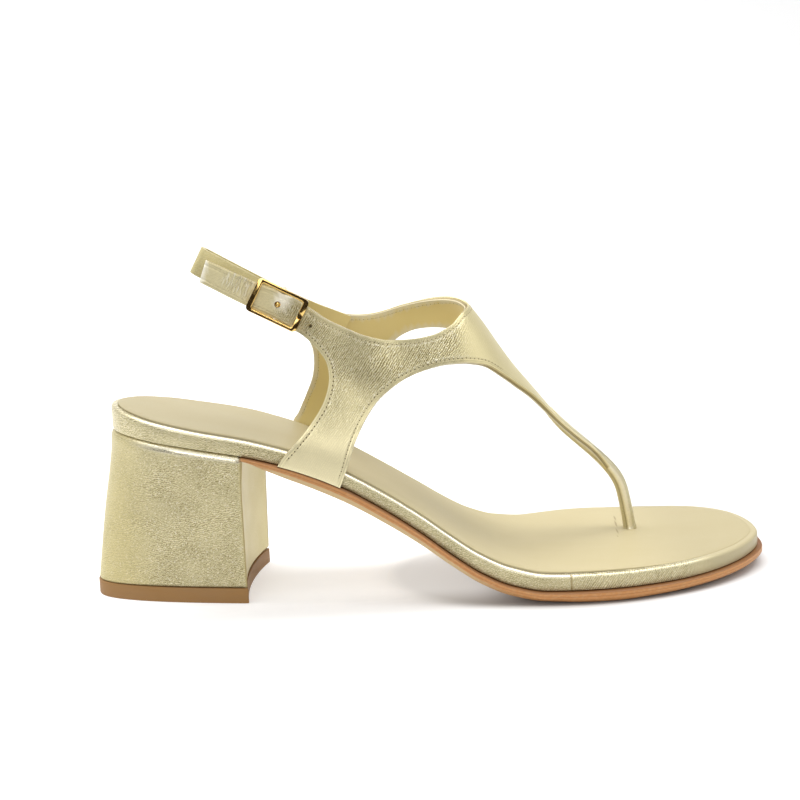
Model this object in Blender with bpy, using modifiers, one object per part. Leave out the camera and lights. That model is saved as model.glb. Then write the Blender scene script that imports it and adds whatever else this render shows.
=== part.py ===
# Toe post sandal: a T-strap upper on a covered block heel, with a slingback closed by a small buckle.
# Tables are in millimetres and the meshes in metres. Stations run along +X from the back of the heel
# seat to the toe, sides along +Y to the medial side and heights along +Z from the floor. Right shoe.

import bisect
import math

import bmesh
import bpy
from mathutils import Matrix, Vector

MM = 0.001
OBJECT_NAME = "toe_post_sandal"
GAP = 0.3
LATERAL, MEDIAL = -1, 1

# Fineness of the meshes
OUTLINE_STEPS = 3
PATTERN_STEPS = 4
ROUND_SEGMENTS = 16
SMOOTH_ANGLE = math.radians(40.0)
FLAT_ANGLE = math.radians(0.2)
WELD = 0.002
CUT_TOLERANCE = 0.0001
UNIT = 1.0

# Middle of the shoe's length and width, where the origin stands on the floor: station, side
ORIGIN = (112.57, 2.84)

# Sole sizes
OUTSOLE_MARGIN = 1.8
RIM_ROUND = 1.5
RIM_SEGMENTS = 3
BOARD_BLANK = 6.0
SOCK_INSET = 2.4
SOCK_THICKNESS = 1.1

# Stretches of the sole that bend: first station, last station, step
SOLE_BENDS = (
    (2.0, 44.0, 6.0),
    (48.0, 150.0, 3.0),
    (174.0, 231.0, 9.5),
)

# Edge of the wrapped insole board in plan, round the shoe from the back of the heel: station, side
OUTLINE = (
    (0.0, 0.0),
    (4.5, -12.5),
    (16.0, -21.6),
    (32.0, -25.2),
    (48.0, -25.4),
    (68.0, -25.2),
    (90.0, -26.9),
    (110.0, -30.0),
    (130.0, -33.6),
    (150.0, -36.8),
    (168.0, -37.2),
    (185.0, -34.6),
    (205.0, -27.6),
    (221.0, -17.0),
    (230.5, -5.0),
    (232.6, 6.0),
    (230.8, 18.0),
    (225.5, 28.5),
    (216.0, 36.5),
    (202.0, 41.0),
    (184.0, 43.0),
    (165.0, 42.0),
    (146.0, 36.0),
    (130.0, 28.2),
    (117.0, 21.8),
    (103.0, 18.0),
    (88.0, 18.8),
    (70.0, 22.4),
    (48.0, 25.6),
    (32.0, 25.4),
    (16.0, 21.6),
    (4.5, 12.5),
)

# Side view of the sole: station, feather line height, board thickness, outsole thickness
SOLE_ROWS = (
    (-4.0, 61.6, 9.4, 1.6),
    (0.0, 61.2, 8.9, 1.6),
    (8.0, 60.5, 7.7, 1.6),
    (16.0, 59.4, 6.9, 1.6),
    (32.0, 56.8, 5.9, 1.6),
    (48.0, 53.6, 5.6, 1.6),
    (56.0, 51.4, 5.5, 2.8),
    (64.0, 48.9, 5.4, 4.0),
    (80.0, 42.3, 5.3, 4.6),
    (96.0, 33.4, 5.3, 4.7),
    (108.0, 25.6, 5.3, 4.6),
    (118.0, 18.2, 5.4, 4.5),
    (128.0, 11.6, 5.4, 4.3),
    (138.0, 7.3, 5.3, 4.6),
    (150.0, 5.1, 5.0, 4.8),
    (174.0, 5.1, 4.9, 4.8),
    (192.0, 5.2, 4.9, 4.4),
    (210.0, 5.7, 4.9, 4.0),
    (224.0, 6.4, 4.9, 3.8),
    (240.0, 7.6, 4.9, 3.8),
)

# Heel sizes
LIFT_HEIGHT = 5.5
LIFT_GROW = 0.3
HEEL_BACK = -9.0
HEEL_BASE_HALF_WIDTH = 22.8
HEEL_BASE_POWER = 2.8
HEEL_INSET = 0.3
HEEL_AROUND_POINTS = 37
BREAST_POINTS = 9
BREAST_STATION = 49.2
BREAST_SKEW = 0.1
BREAST_HOLLOW = 3.2
BREAST_HALF_WIDTH = 25.0

# Heel levels from the lift to the seat: share of the height, share of the seat's shape, inset at the seat
HEEL_LEVELS = (
    (0.0, 0.0, 0.0),
    (0.25, 0.22, 0.0),
    (0.5, 0.46, 0.0),
    (0.75, 0.74, 0.0),
    (0.9, 0.93, 0.0),
    (0.96, 0.98, 0.4),
    (1.0, 1.0, 1.5),
)

# Upper sizes
WALL = 2.0
GIRTH = 80.0
TUCK_HEIGHT = 6.5

# Bends of the upper along the shoe: first station, last station, step
UPPER_BENDS = (40.0, 178.0, 3.0)

# Bends of the upper round the foot: first girth, last girth, step
UPPER_LANES = (
    (-80.0, -48.0, 2.67),
    (-45.0, 45.0, 5.0),
    (48.0, 80.0, 2.67),
)

# Ridge of the last over the instep: station, height, side
CREST_ROWS = (
    (60.0, 150.0, 0.0),
    (85.0, 136.0, 0.0),
    (103.0, 121.0, 0.0),
    (113.0, 112.5, 0.3),
    (123.0, 104.7, 0.8),
    (126.0, 102.2, 0.9),
    (128.5, 99.3, 1.1),
    (131.2, 95.8, 1.5),
    (134.0, 91.8, 1.9),
    (139.4, 83.4, 3.1),
    (144.7, 75.7, 4.3),
    (150.2, 68.8, 5.5),
    (155.6, 61.9, 6.6),
    (161.0, 55.5, 7.7),
    (166.7, 49.9, 8.9),
    (172.4, 44.8, 10.0),
    (178.0, 39.6, 11.1),
    (184.0, 32.0, 12.2),
)

# Ankle loop in plan: station, lateral side, medial side, share of the arched last, medial fullness
LOOP_ROWS = (
    (30.0, -7.0, 3.0, 0.0, 0.0),
    (62.0, -7.0, 3.9, 0.0, 0.0),
    (70.4, -7.0, 6.8, 0.0, 0.0),
    (74.0, -9.0, 9.2, 0.0, 0.0),
    (79.0, -13.0, 13.0, 0.02, 0.0),
    (86.0, -17.8, 17.4, 0.15, 0.5),
    (95.0, -20.9, 20.6, 0.5, 5.0),
    (104.0, -22.5, 22.0, 0.85, 7.0),
    (114.0, -22.5, 22.0, 1.0, 5.0),
    (128.0, -22.5, 22.0, 1.0, 2.0),
    (142.0, -22.5, 22.0, 1.0, 0.0),
    (190.0, -22.5, 22.0, 1.0, 0.0),
)

# Top line from the tip of the strap along the lateral side: station, height
COLLAR_LATERAL = (
    (37.6, 119.5),
    (48.0, 114.2),
    (57.0, 109.7),
    (62.0, 107.4),
    (67.0, 105.0),
    (71.0, 102.3),
    (76.7, 98.5),
    (82.9, 95.9),
    (89.7, 93.4),
    (96.4, 92.0),
    (101.1, 91.6),
    (107.3, 91.6),
    (112.8, 92.1),
    (117.0, 93.1),
    (121.4, 95.1),
)

# Top line over the ridge of the instep: station, girth
COLLAR_RIDGE = (
    (124.4, -18.8),
    (126.6, -13.0),
    (128.0, -6.4),
    (128.3, 0.0),
    (127.7, 4.6),
    (126.4, 8.5),
    (124.4, 11.9),
    (121.7, 16.1),
)

# Top line along the medial side to the end of the medial quarter: station, height
COLLAR_MEDIAL = (
    (118.9, 101.0),
    (114.6, 100.3),
    (108.8, 98.8),
    (103.0, 97.1),
    (98.5, 95.7),
    (94.1, 94.9),
    (89.7, 94.8),
    (85.3, 95.4),
    (81.1, 96.9),
    (78.3, 98.1),
    (74.2, 100.4),
)

# Edges of the two legs from the sole upwards: station, height (a first height of zero is the sole)
LATERAL_REAR = (
    (59.6, 0.0),
    (61.7, 53.3),
    (65.3, 57.0),
    (69.9, 62.1),
    (74.6, 68.2),
    (77.2, 73.2),
    (78.4, 78.6),
    (77.7, 83.4),
    (75.6, 86.6),
    (72.6, 89.6),
    (69.0, 92.4),
    (62.0, 97.4),
    (48.0, 104.5),
    (34.8, 112.0),
)
LATERAL_FRONT = (
    (80.6, 0.0),
    (83.0, 48.1),
    (86.6, 57.9),
    (91.6, 67.3),
    (96.9, 73.4),
    (105.6, 79.1),
    (116.4, 82.3),
    (126.9, 82.5),
)
MEDIAL_REAR = (
    (61.6, 0.0),
    (63.4, 55.1),
    (65.5, 58.3),
    (68.6, 65.6),
    (70.9, 71.6),
    (71.9, 77.5),
    (71.9, 83.0),
    (71.0, 86.7),
    (69.4, 92.2),
)
MEDIAL_FRONT = (
    (84.0, 0.0),
    (85.6, 49.0),
    (88.4, 60.0),
    (92.2, 70.0),
    (97.0, 79.4),
    (104.0, 86.0),
    (114.0, 89.6),
    (126.0, 88.6),
)

# Bar of the T down to the toe post: station, lateral half width, medial half width
T_BAR_ROWS = (
    (134.0, 19.4, 14.4),
    (139.0, 17.2, 13.2),
    (144.0, 14.4, 11.6),
    (149.5, 11.0, 9.4),
    (155.0, 7.8, 7.2),
    (161.0, 5.7, 5.6),
    (168.0, 5.0, 5.0),
    (175.0, 4.5, 4.5),
    (180.5, 3.4, 3.4),
)

# Toe post down the middle of the bar's end and through the insole: station, side, height, radius
POST_ROWS = (
    (168.0, 9.1, 47.2, 0.9),
    (174.0, 10.3, 41.8, 1.3),
    (178.6, 11.2, 37.2, 1.9),
    (181.6, 11.9, 33.2, 2.2),
    (184.0, 12.5, 27.6, 2.3),
    (185.7, 12.8, 20.6, 2.3),
    (187.0, 13.0, 13.0, 2.3),
    (187.8, 13.1, 6.2, 2.3),
)
POST_HOLE_FOOT = (188.4, 13.2, 4.4, 2.3)
POST_CLEARANCE = 0.4
POST_ROUNDNESS = 2

# Slingback and buckle sizes, in the plane of the fastened strap
STRAP_MIDDLE = (61.4, 103.1)
STRAP_SLOPE = math.radians(28.5)
STRAP_WIDTH = 9.6
STRAP_THICKNESS = 1.6
STRAP_END_THICKNESS = 1.0
STRAP_FAN = 0.035
STRAP_FOLD = -31.5
STRAP_FOOT_SHARE = 0.6
LAP_END = 24.0
LAP_START = 11.0
LAP_STEP = 4.5
LAP_GAP = 0.45
MEDIAL_RUN_DEPTH = 7.4
FOLD_STEPS = 8
CURL_STEPS = 12
CURL_START = math.radians(90.0)
CURL_TURN = math.radians(240.0)
SLOT_MARGIN = 0.5
FRAME_LENGTH = 19.2
FRAME_WIDTH = 12.4
FRAME_THICKNESS = 1.6
FRAME_END_BAR = 1.8
FRAME_RAIL = 1.2
FRAME_CORNER = 1.5
BAR_RADIUS = 0.7
PRONG_WIDTH = 1.6
PRONG_LOOP = 0.6
PRONG_RISER = 1.2
PRONG_RISE = 0.5
PRONG_STEPS = 20
TIP_STEPS = 8
NOTCH_WIDTH = 2.4
NOTCH_DEPTH = 1.1
NOTCH_MARGIN = 0.5
LUG_SET_IN = 0.1
LUG_MARGIN = 0.2
HOLE_RADIUS = 1.3
HOLE_CUT_DEPTH = 12.0

# Free stretch of the slingback from the medial lap to the fold: distance along the strap, depth
FREE_ROWS = (
    (2.0, 9.0),
    (-9.0, 7.8),
    (-20.0, MEDIAL_RUN_DEPTH),
)

# Outer stretch of the slingback from the fold to the centre bar: distance along the strap
OUTER_STATIONS = (-12.0, -6.0)

# Holes in the strap: station, height
STRAP_HOLES = (
    (61.4, 103.1),
    (72.4, 95.4),
)

# Materials: colour, roughness, metallic
GOLD_LEATHER = ("gold_leather", (0.61, 0.54, 0.31), 0.42, 0.55)
SOCK_LEATHER = ("sock_leather", (0.72, 0.63, 0.40), 0.5, 0.2)
SOLE_LEATHER = ("sole_leather", (0.56, 0.26, 0.11), 0.55, 0.0)
LIFT_RUBBER = ("lift_rubber", (0.35, 0.18, 0.08), 0.6, 0.0)
BUCKLE_METAL = ("buckle_metal", (0.83, 0.62, 0.26), 0.2, 1.0)


class Profile:
    """Smooth value along the shoe through the rows of a table, without overshoot between rows."""

    def __init__(self, rows, column):
        self.stations = [row[0] for row in rows]
        self.values = [row[column] for row in rows]
        steps = list(zip(self.stations, self.values))
        rates = [(b[1] - a[1]) / (b[0] - a[0]) for a, b in zip(steps, steps[1:])]
        self.slopes = [rates[0]]
        for before, after in zip(rates, rates[1:]):
            level = before * after <= 0.0
            self.slopes.append(0.0 if level else 2.0 * before * after / (before + after))
        self.slopes.append(rates[-1])

    def __call__(self, station):
        last = len(self.stations) - 2
        row = min(max(bisect.bisect_right(self.stations, station) - 1, 0), last)
        length = self.stations[row + 1] - self.stations[row]
        share = min(max((station - self.stations[row]) / length, 0.0), 1.0)
        rest = 1.0 - share
        start = self.values[row] * (1.0 + 2.0 * share) + self.slopes[row] * length * share
        end = self.values[row + 1] * (3.0 - 2.0 * share) - self.slopes[row + 1] * length * rest
        return start * rest * rest + end * share * share


feather = Profile(SOLE_ROWS, 1)
board_thickness = Profile(SOLE_ROWS, 2)
outsole_thickness = Profile(SOLE_ROWS, 3)
crest = Profile(CREST_ROWS, 1)
ridge = Profile(CREST_ROWS, 2)
loop_side = {LATERAL: Profile(LOOP_ROWS, 1), MEDIAL: Profile(LOOP_ROWS, 2)}
arched_share = Profile(LOOP_ROWS, 3)
medial_fullness = Profile(LOOP_ROWS, 4)


def spline_point(before, start, end, after, share):
    """Point on the smooth curve from start to end."""
    return tuple(
        0.5 * (2 * b + (c - a) * share + (2 * a - 5 * b + 4 * c - d) * share**2
               + (3 * b - a - 3 * c + d) * share**3)
        for a, b, c, d in zip(before, start, end, after)
    )


def smooth_run(rows, steps):
    """Points of a smooth open curve through the rows, both ends included."""
    padded = [rows[0], *rows, rows[-1]]
    points = []
    for row in range(len(rows) - 1):
        points += [spline_point(*padded[row:row + 4], step / steps) for step in range(steps)]
    return points + [tuple(rows[-1])]


def smooth_loop(rows, steps):
    """Points of a smooth closed curve through the rows."""
    count = len(rows)
    points = []
    for row in range(count):
        four = [rows[(row + shift) % count] for shift in (-1, 0, 1, 2)]
        points += [spline_point(*four, step / steps) for step in range(steps)]
    return points


def grow(points, margin):
    """Closed outline moved outwards by a margin, for points that run clockwise from above."""
    moved = []
    for before, here, after in zip(points[-1:] + points[:-1], points, points[1:] + points[:1]):
        along, across = after[0] - before[0], after[1] - before[1]
        length = math.hypot(along, across)
        moved.append((here[0] + margin * across / length, here[1] - margin * along / length))
    return moved


def resample(points, count):
    """Open run of points spread evenly along its length."""
    lengths = [0.0]
    for a, b in zip(points, points[1:]):
        lengths.append(lengths[-1] + math.dist(a, b))
    spread = []
    for step in range(count):
        target = lengths[-1] * step / (count - 1)
        row = min(max(bisect.bisect_right(lengths, target) - 1, 0), len(points) - 2)
        share = (target - lengths[row]) / (lengths[row + 1] - lengths[row])
        spread.append(tuple(a + (b - a) * share for a, b in zip(points[row], points[row + 1])))
    return spread


RIM = smooth_loop(OUTLINE, OUTLINE_STEPS)


def rim_side(station, side):
    """Side position of the board's edge at a station."""
    widest = 0.0
    for a, b in zip(RIM, RIM[1:] + RIM[:1]):
        if a[0] != b[0] and min(a[0], b[0]) <= station <= max(a[0], b[0]):
            across = a[1] + (b[1] - a[1]) * (station - a[0]) / (b[0] - a[0])
            widest = max(widest, across * side)
    return widest * side


def breast(side):
    """Station of the heel's hollow front face."""
    hollow = BREAST_HOLLOW * (1.0 - (side / BREAST_HALF_WIDTH) ** 2)
    return BREAST_STATION + BREAST_SKEW * side - hollow


def strap_height(station):
    """Height of the fastened strap's middle line."""
    return STRAP_MIDDLE[1] - (station - STRAP_MIDDLE[0]) * math.tan(STRAP_SLOPE)


def foot_side(station, side):
    """Side position of the upper's outer face where it meets the sole."""
    clear = rim_side(station, side) + side * (GAP + WALL)
    return clear + (medial_fullness(station) if side == MEDIAL else 0.0)


def last_point(station, side, turn):
    """Outer face of the upper: turn 0 at the sole edge, 1 on the ridge of the instep."""
    base, top, middle = feather(station), crest(station), ridge(station)
    foot = foot_side(station, side)
    angle = turn * math.pi / 2
    height = base + (top - base) * math.sin(angle)
    arch = middle + (foot - middle) * math.cos(angle)
    rise = height - strap_height(station)
    along = station - rise * math.cos(STRAP_SLOPE) * math.sin(STRAP_SLOPE)
    strap_foot = strap_height(station) - STRAP_FOOT_SHARE * STRAP_WIDTH / math.cos(STRAP_SLOPE)
    tucked = base + TUCK_HEIGHT
    share = min(max((height - tucked) / (strap_foot - tucked), 0.0), 1.0)
    wall = foot + (loop_side[side](along) - foot) * share * share * (3.0 - 2.0 * share)
    return Vector((station, wall + (arch - wall) * arched_share(station), height))


def girth_at_height(station, side, height):
    """Pattern point on the last at a height above the floor."""
    base = feather(station)
    lift = min(max((height - base) / (crest(station) - base), 0.0), 1.0)
    turn = math.asin(lift) * 2.0 / math.pi
    return station, side * (1.0 - turn) * GIRTH


def girth_at_offset(station, side, offset):
    """Pattern point on the last at a side distance from the ridge."""
    half = abs(foot_side(station, side) - ridge(station))
    return station, side * math.asin(offset / half) * 2.0 / math.pi * GIRTH


def clear_scene():
    """Empty the scene and drop unused meshes, curves and materials."""
    for item in list(bpy.data.objects):
        bpy.data.objects.remove(item)
    for collection in list(bpy.data.collections):
        bpy.data.collections.remove(collection)
    for blocks in (bpy.data.meshes, bpy.data.curves, bpy.data.materials):
        for block in list(blocks):
            blocks.remove(block)


def new_collection(name):
    """Collection linked to the scene."""
    collection = bpy.data.collections.new(name)
    bpy.context.scene.collection.children.link(collection)
    return collection


def new_material(name, colour, roughness, metallic):
    """Principled material with one colour."""
    material = bpy.data.materials.new(name)
    material.use_nodes = True
    shader = material.node_tree.nodes["Principled BSDF"]
    shader.inputs["Base Color"].default_value = (*colour, 1.0)
    shader.inputs["Roughness"].default_value = roughness
    shader.inputs["Metallic"].default_value = metallic
    return material


def flat_blank(outlines, thickness):
    """Flat outline, filled and extruded about zero, as an editable mesh; later outlines are holes."""
    curve = bpy.data.curves.new("blank", "CURVE")
    curve.dimensions = "2D"
    curve.fill_mode = "BOTH"
    curve.extrude = thickness / 2
    for outline in outlines:
        spline = curve.splines.new("POLY")
        spline.points.add(len(outline) - 1)
        for point, (along, across) in zip(spline.points, outline):
            point.co = (along, across, 0.0, 1.0)
        spline.use_cyclic_u = True
    sheet = bpy.data.objects.new("blank", curve)
    bpy.context.scene.collection.objects.link(sheet)
    evaluated = sheet.evaluated_get(bpy.context.evaluated_depsgraph_get())
    mesh = bpy.data.meshes.new_from_object(evaluated)
    bpy.data.objects.remove(sheet)
    form = bmesh.new()
    form.from_mesh(mesh)
    bpy.data.meshes.remove(mesh)
    bmesh.ops.remove_doubles(form, verts=form.verts, dist=WELD)
    return form


def merge_flats(form):
    """Turn the filled faces into single flat faces."""
    bmesh.ops.dissolve_limit(form, angle_limit=FLAT_ANGLE, verts=form.verts, edges=form.edges)


def slice_form(form, axis, positions):
    """Cut the form across one axis at each position."""
    for position in positions:
        geometry = form.verts[:] + form.edges[:] + form.faces[:]
        centre = axis * position
        bmesh.ops.bisect_plane(form, geom=geometry, dist=CUT_TOLERANCE, plane_co=centre, plane_no=axis)


def spaced(start, end, step):
    """Evenly spaced positions from start to end."""
    count = round((end - start) / step)
    return [start + (end - start) * index / count for index in range(count + 1)]


def mesh_object(name, form, collection, material):
    """Object from a form in millimetres, smooth shaded up to an angle."""
    bmesh.ops.remove_doubles(form, verts=form.verts, dist=WELD)
    bmesh.ops.triangulate(form, faces=form.faces)
    bmesh.ops.recalc_face_normals(form, faces=form.faces)
    bmesh.ops.scale(form, vec=(MM, MM, MM), verts=form.verts)
    mesh = bpy.data.meshes.new(name)
    form.to_mesh(mesh)
    form.free()
    mesh.materials.append(material)
    mesh.shade_smooth()
    mesh.set_sharp_from_angle(angle=SMOOTH_ANGLE)
    item = bpy.data.objects.new(name, mesh)
    item.location = (-ORIGIN[0] * MM, -ORIGIN[1] * MM, 0.0)
    collection.objects.link(item)
    return item


def as_helper(item):
    """Keep a helper out of the finished object."""
    item.hide_render = True
    item.display_type = "WIRE"
    return item


def boolean(item, operation, helper):
    """Join or cut an object with a helper."""
    modifier = item.modifiers.new(helper.name, "BOOLEAN")
    modifier.operation = operation
    modifier.solver = "EXACT"
    modifier.object = helper


def sole_stations():
    """Stations where the sole bends, closer together along the arch."""
    return [station for stretch in SOLE_BENDS for station in spaced(*stretch)]


def build_outsole(collection, material):
    """Leather outsole from the heel breast to the toe, flat under the ball."""
    edge = grow(RIM, OUTSOLE_MARGIN)
    ahead = [point for point in edge if point[0] > breast(point[1]) + GAP]
    sides = (ahead[-1][1], ahead[0][1])
    rear = [sides[0] + (sides[1] - sides[0]) * step / BREAST_POINTS for step in range(BREAST_POINTS + 1)]
    outline = ahead + [(breast(side) + GAP, side) for side in rear]
    form = flat_blank([outline], UNIT)
    merge_flats(form)
    slice_form(form, Vector((1, 0, 0)), sole_stations())
    for vertex in form.verts:
        top = feather(vertex.co.x) - GAP
        drop = outsole_thickness(vertex.co.x) * (UNIT / 2 - vertex.co.z)
        vertex.co.z = top - drop
    return mesh_object("outsole", form, collection, material)


def build_board(collection, material):
    """Insole board wrapped in leather, with a round rim."""
    form = flat_blank([RIM], BOARD_BLANK)
    merge_flats(form)
    caps = [face for face in form.faces if abs(face.normal.z) > 0.9]
    rims = list({edge for face in caps for edge in face.edges})
    bmesh.ops.bevel(form, geom=rims, offset=RIM_ROUND, segments=RIM_SEGMENTS, profile=0.5, affect="EDGES")
    slice_form(form, Vector((1, 0, 0)), sole_stations())
    for vertex in form.verts:
        share = vertex.co.z / BOARD_BLANK + 0.5
        vertex.co.z = feather(vertex.co.x) + board_thickness(vertex.co.x) * share
    return mesh_object("insole_board", form, collection, material)


def build_sock(collection, material):
    """Insole sock on the board, a little inside its rim."""
    form = flat_blank([grow(RIM, -SOCK_INSET)], SOCK_THICKNESS)
    merge_flats(form)
    slice_form(form, Vector((1, 0, 0)), sole_stations())
    for vertex in form.verts:
        seat = feather(vertex.co.x) + board_thickness(vertex.co.x) + GAP
        vertex.co.z += seat + SOCK_THICKNESS / 2
    return mesh_object("insole", form, collection, material)


def heel_seat_run():
    """Seat edge from the medial breast corner round the back to the lateral one."""
    edge = grow(RIM, -HEEL_INSET)
    half = len(edge) // 2
    behind = [point for point in edge[half:] + edge[:half] if point[0] < breast(point[1])]
    first, last = behind[0][1], behind[-1][1]
    return [(breast(first), first), *behind, (breast(last), last)]


def heel_base_run():
    """Base edge from the medial breast corner round the back, drawn out to the rear."""
    run = []
    for step in range(HEEL_AROUND_POINTS):
        share = 1.0 - 2.0 * step / (HEEL_AROUND_POINTS - 1)
        side = HEEL_BASE_HALF_WIDTH * share
        corner = breast(math.copysign(HEEL_BASE_HALF_WIDTH, side))
        run.append((HEEL_BACK + (corner - HEEL_BACK) * abs(share) ** HEEL_BASE_POWER, side))
    return run


def breast_run(start, end):
    """Points between two breast corners, without the corners."""
    sides = [start + (end - start) * step / (BREAST_POINTS + 1) for step in range(1, BREAST_POINTS + 1)]
    return [(breast(side), side) for side in sides]


def closed_heel_outline(run):
    """Heel outline of an open run closed along the breast."""
    return run + breast_run(run[-1][1], run[0][1])


def build_heel(collection, material):
    """Covered block heel: a loft from the drawn-out base to the seat's edge."""
    base = closed_heel_outline(resample(heel_base_run(), HEEL_AROUND_POINTS))
    seat = closed_heel_outline(resample(heel_seat_run(), HEEL_AROUND_POINTS))
    inner = grow(seat, -UNIT)
    foot = LIFT_HEIGHT + GAP
    form = bmesh.new()
    rings = []
    for height_share, seat_share, inset in HEEL_LEVELS:
        ring = []
        for low, high, inside in zip(base, seat, inner):
            place = Vector(low).lerp(Vector(high), seat_share)
            place += (Vector(inside) - Vector(high)) * inset
            top = feather(high[0]) - GAP
            ring.append(form.verts.new((*place, foot + (top - foot) * height_share)))
        rings.append(ring)
    for below, above in zip(rings, rings[1:]):
        for index in range(len(below)):
            corners = (below[index - 1], below[index], above[index], above[index - 1])
            form.faces.new(corners)
    form.faces.new(rings[0])
    form.faces.new(rings[-1])
    return mesh_object("heel", form, collection, material)


def build_lift(collection, material):
    """Top lift under the heel."""
    outline = grow(closed_heel_outline(resample(heel_base_run(), HEEL_AROUND_POINTS)), LIFT_GROW)
    form = flat_blank([outline], LIFT_HEIGHT)
    bmesh.ops.translate(form, vec=(0.0, 0.0, LIFT_HEIGHT / 2), verts=form.verts)
    return mesh_object("top_lift", form, collection, material)


def side_edge(rows, side):
    """Pattern points along an edge on one side of the last."""
    return [girth_at_height(station, side, height) for station, height in rows]


def upper_pattern():
    """Flat outline of the upper in stations and girth, round from the tip of the lateral strap."""
    collar = side_edge(COLLAR_LATERAL, LATERAL) + list(COLLAR_RIDGE) + side_edge(COLLAR_MEDIAL, MEDIAL)
    lateral_bar = [girth_at_offset(station, LATERAL, half) for station, half, _ in T_BAR_ROWS]
    medial_bar = [girth_at_offset(station, MEDIAL, half) for station, _, half in T_BAR_ROWS]
    medial_front = side_edge(MEDIAL_FRONT, MEDIAL) + medial_bar
    lateral_front = lateral_bar[::-1] + side_edge(LATERAL_FRONT, LATERAL)[::-1]
    outline = smooth_run(collar, PATTERN_STEPS)
    outline += smooth_run(side_edge(MEDIAL_REAR, MEDIAL)[::-1], PATTERN_STEPS)
    outline += smooth_run(medial_front, PATTERN_STEPS)
    outline += smooth_run(lateral_front, PATTERN_STEPS)
    outline += smooth_run(side_edge(LATERAL_REAR, LATERAL), PATTERN_STEPS)
    return outline


def build_post(collection, material, name, rows, clearance):
    """Round toe post as a helper, with a clearance all round."""
    curve = bpy.data.curves.new(name, "CURVE")
    curve.dimensions = "3D"
    curve.bevel_depth = MM
    curve.bevel_resolution = POST_ROUNDNESS
    curve.use_fill_caps = True
    spline = curve.splines.new("POLY")
    points = smooth_run(rows, OUTLINE_STEPS)
    spline.points.add(len(points) - 1)
    for point, (station, side, height, radius) in zip(spline.points, points):
        point.co = (station * MM, side * MM, height * MM, 1.0)
        point.radius = radius + clearance
    tube = bpy.data.objects.new(name, curve)
    bpy.context.scene.collection.objects.link(tube)
    evaluated = tube.evaluated_get(bpy.context.evaluated_depsgraph_get())
    mesh = bpy.data.meshes.new_from_object(evaluated)
    bpy.data.objects.remove(tube)
    form = bmesh.new()
    form.from_mesh(mesh)
    bpy.data.meshes.remove(mesh)
    bmesh.ops.scale(form, vec=(1 / MM, 1 / MM, 1 / MM), verts=form.verts)
    return as_helper(mesh_object(name, form, collection, material))


def build_hole_cutter(collection, material, name, station, height):
    """Round cutter across the strap at a point of its middle."""
    form = bmesh.new()
    bmesh.ops.create_cone(form, cap_ends=True, segments=ROUND_SEGMENTS, radius1=HOLE_RADIUS,
                          radius2=HOLE_RADIUS, depth=HOLE_CUT_DEPTH)
    turn = Matrix.Rotation(math.radians(90.0), 4, "X")
    side = loop_side[LATERAL](station)
    bmesh.ops.transform(form, matrix=Matrix.Translation((station, side, height)) @ turn, verts=form.verts)
    return as_helper(mesh_object(name, form, collection, material))


def build_upper(collection, cutters, material):
    """T-strap upper: the flat pattern bent over the last, with its wall and toe post."""
    form = flat_blank([upper_pattern()], 0.0)
    merge_flats(form)
    slice_form(form, Vector((1, 0, 0)), spaced(*UPPER_BENDS))
    for lane in UPPER_LANES:
        slice_form(form, Vector((0, 1, 0)), spaced(*lane))
    for vertex in form.verts:
        side = LATERAL if vertex.co.y < 0.0 else MEDIAL
        vertex.co = last_point(vertex.co.x, side, 1.0 - abs(vertex.co.y) / GIRTH)
    upper = mesh_object("upper", form, collection, material)
    wall = upper.modifiers.new("wall", "SOLIDIFY")
    wall.thickness = WALL * MM
    wall.offset = -1.0
    boolean(upper, "UNION", build_post(cutters, material, "toe_post", POST_ROWS, 0.0))
    for index, (station, height) in enumerate(STRAP_HOLES):
        cutter = build_hole_cutter(cutters, material, f"strap_hole_{index}", station, height)
        boolean(upper, "DIFFERENCE", cutter)
    return upper


def strap_matrix(upright):
    """Frame at the buckle: X along the strap to the front, and Z outwards or, turned, down its width."""
    along = Vector((math.cos(STRAP_SLOPE), 0.0, -math.sin(STRAP_SLOPE)))
    outward = Vector((0.0, -1.0, 0.0))
    across = outward.cross(along)
    axes = (along, outward, -across) if upright else (along, across, outward)
    frame = Matrix(axes).transposed().to_4x4()
    outer_face = loop_side[LATERAL](STRAP_MIDDLE[0])
    place = Vector((STRAP_MIDDLE[0] - ORIGIN[0], outer_face - ORIGIN[1], STRAP_MIDDLE[1]))
    return Matrix.Translation(place * MM) @ frame


def bar_depth():
    """Depth of the buckle's centre bar under the strap's outer face."""
    return WALL + GAP + STRAP_END_THICKNESS + GAP + BAR_RADIUS


def lap_rows():
    """Slingback along the inside of the medial quarter: distance along the strap, depth, half thickness."""
    rows = []
    for along in spaced(LAP_END, LAP_START, -LAP_STEP):
        station = STRAP_MIDDLE[0] + along * math.cos(STRAP_SLOPE)
        side = loop_side[MEDIAL]
        slope = (side(station + UNIT / 2) - side(station - UNIT / 2)) * math.cos(STRAP_SLOPE)
        inside = (WALL + LAP_GAP + STRAP_THICKNESS / 2) / math.hypot(1.0, slope)
        outer = side(station) - loop_side[LATERAL](STRAP_MIDDLE[0])
        rows.append((along + inside * slope, outer - inside, STRAP_THICKNESS / 2))
    return rows


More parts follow.
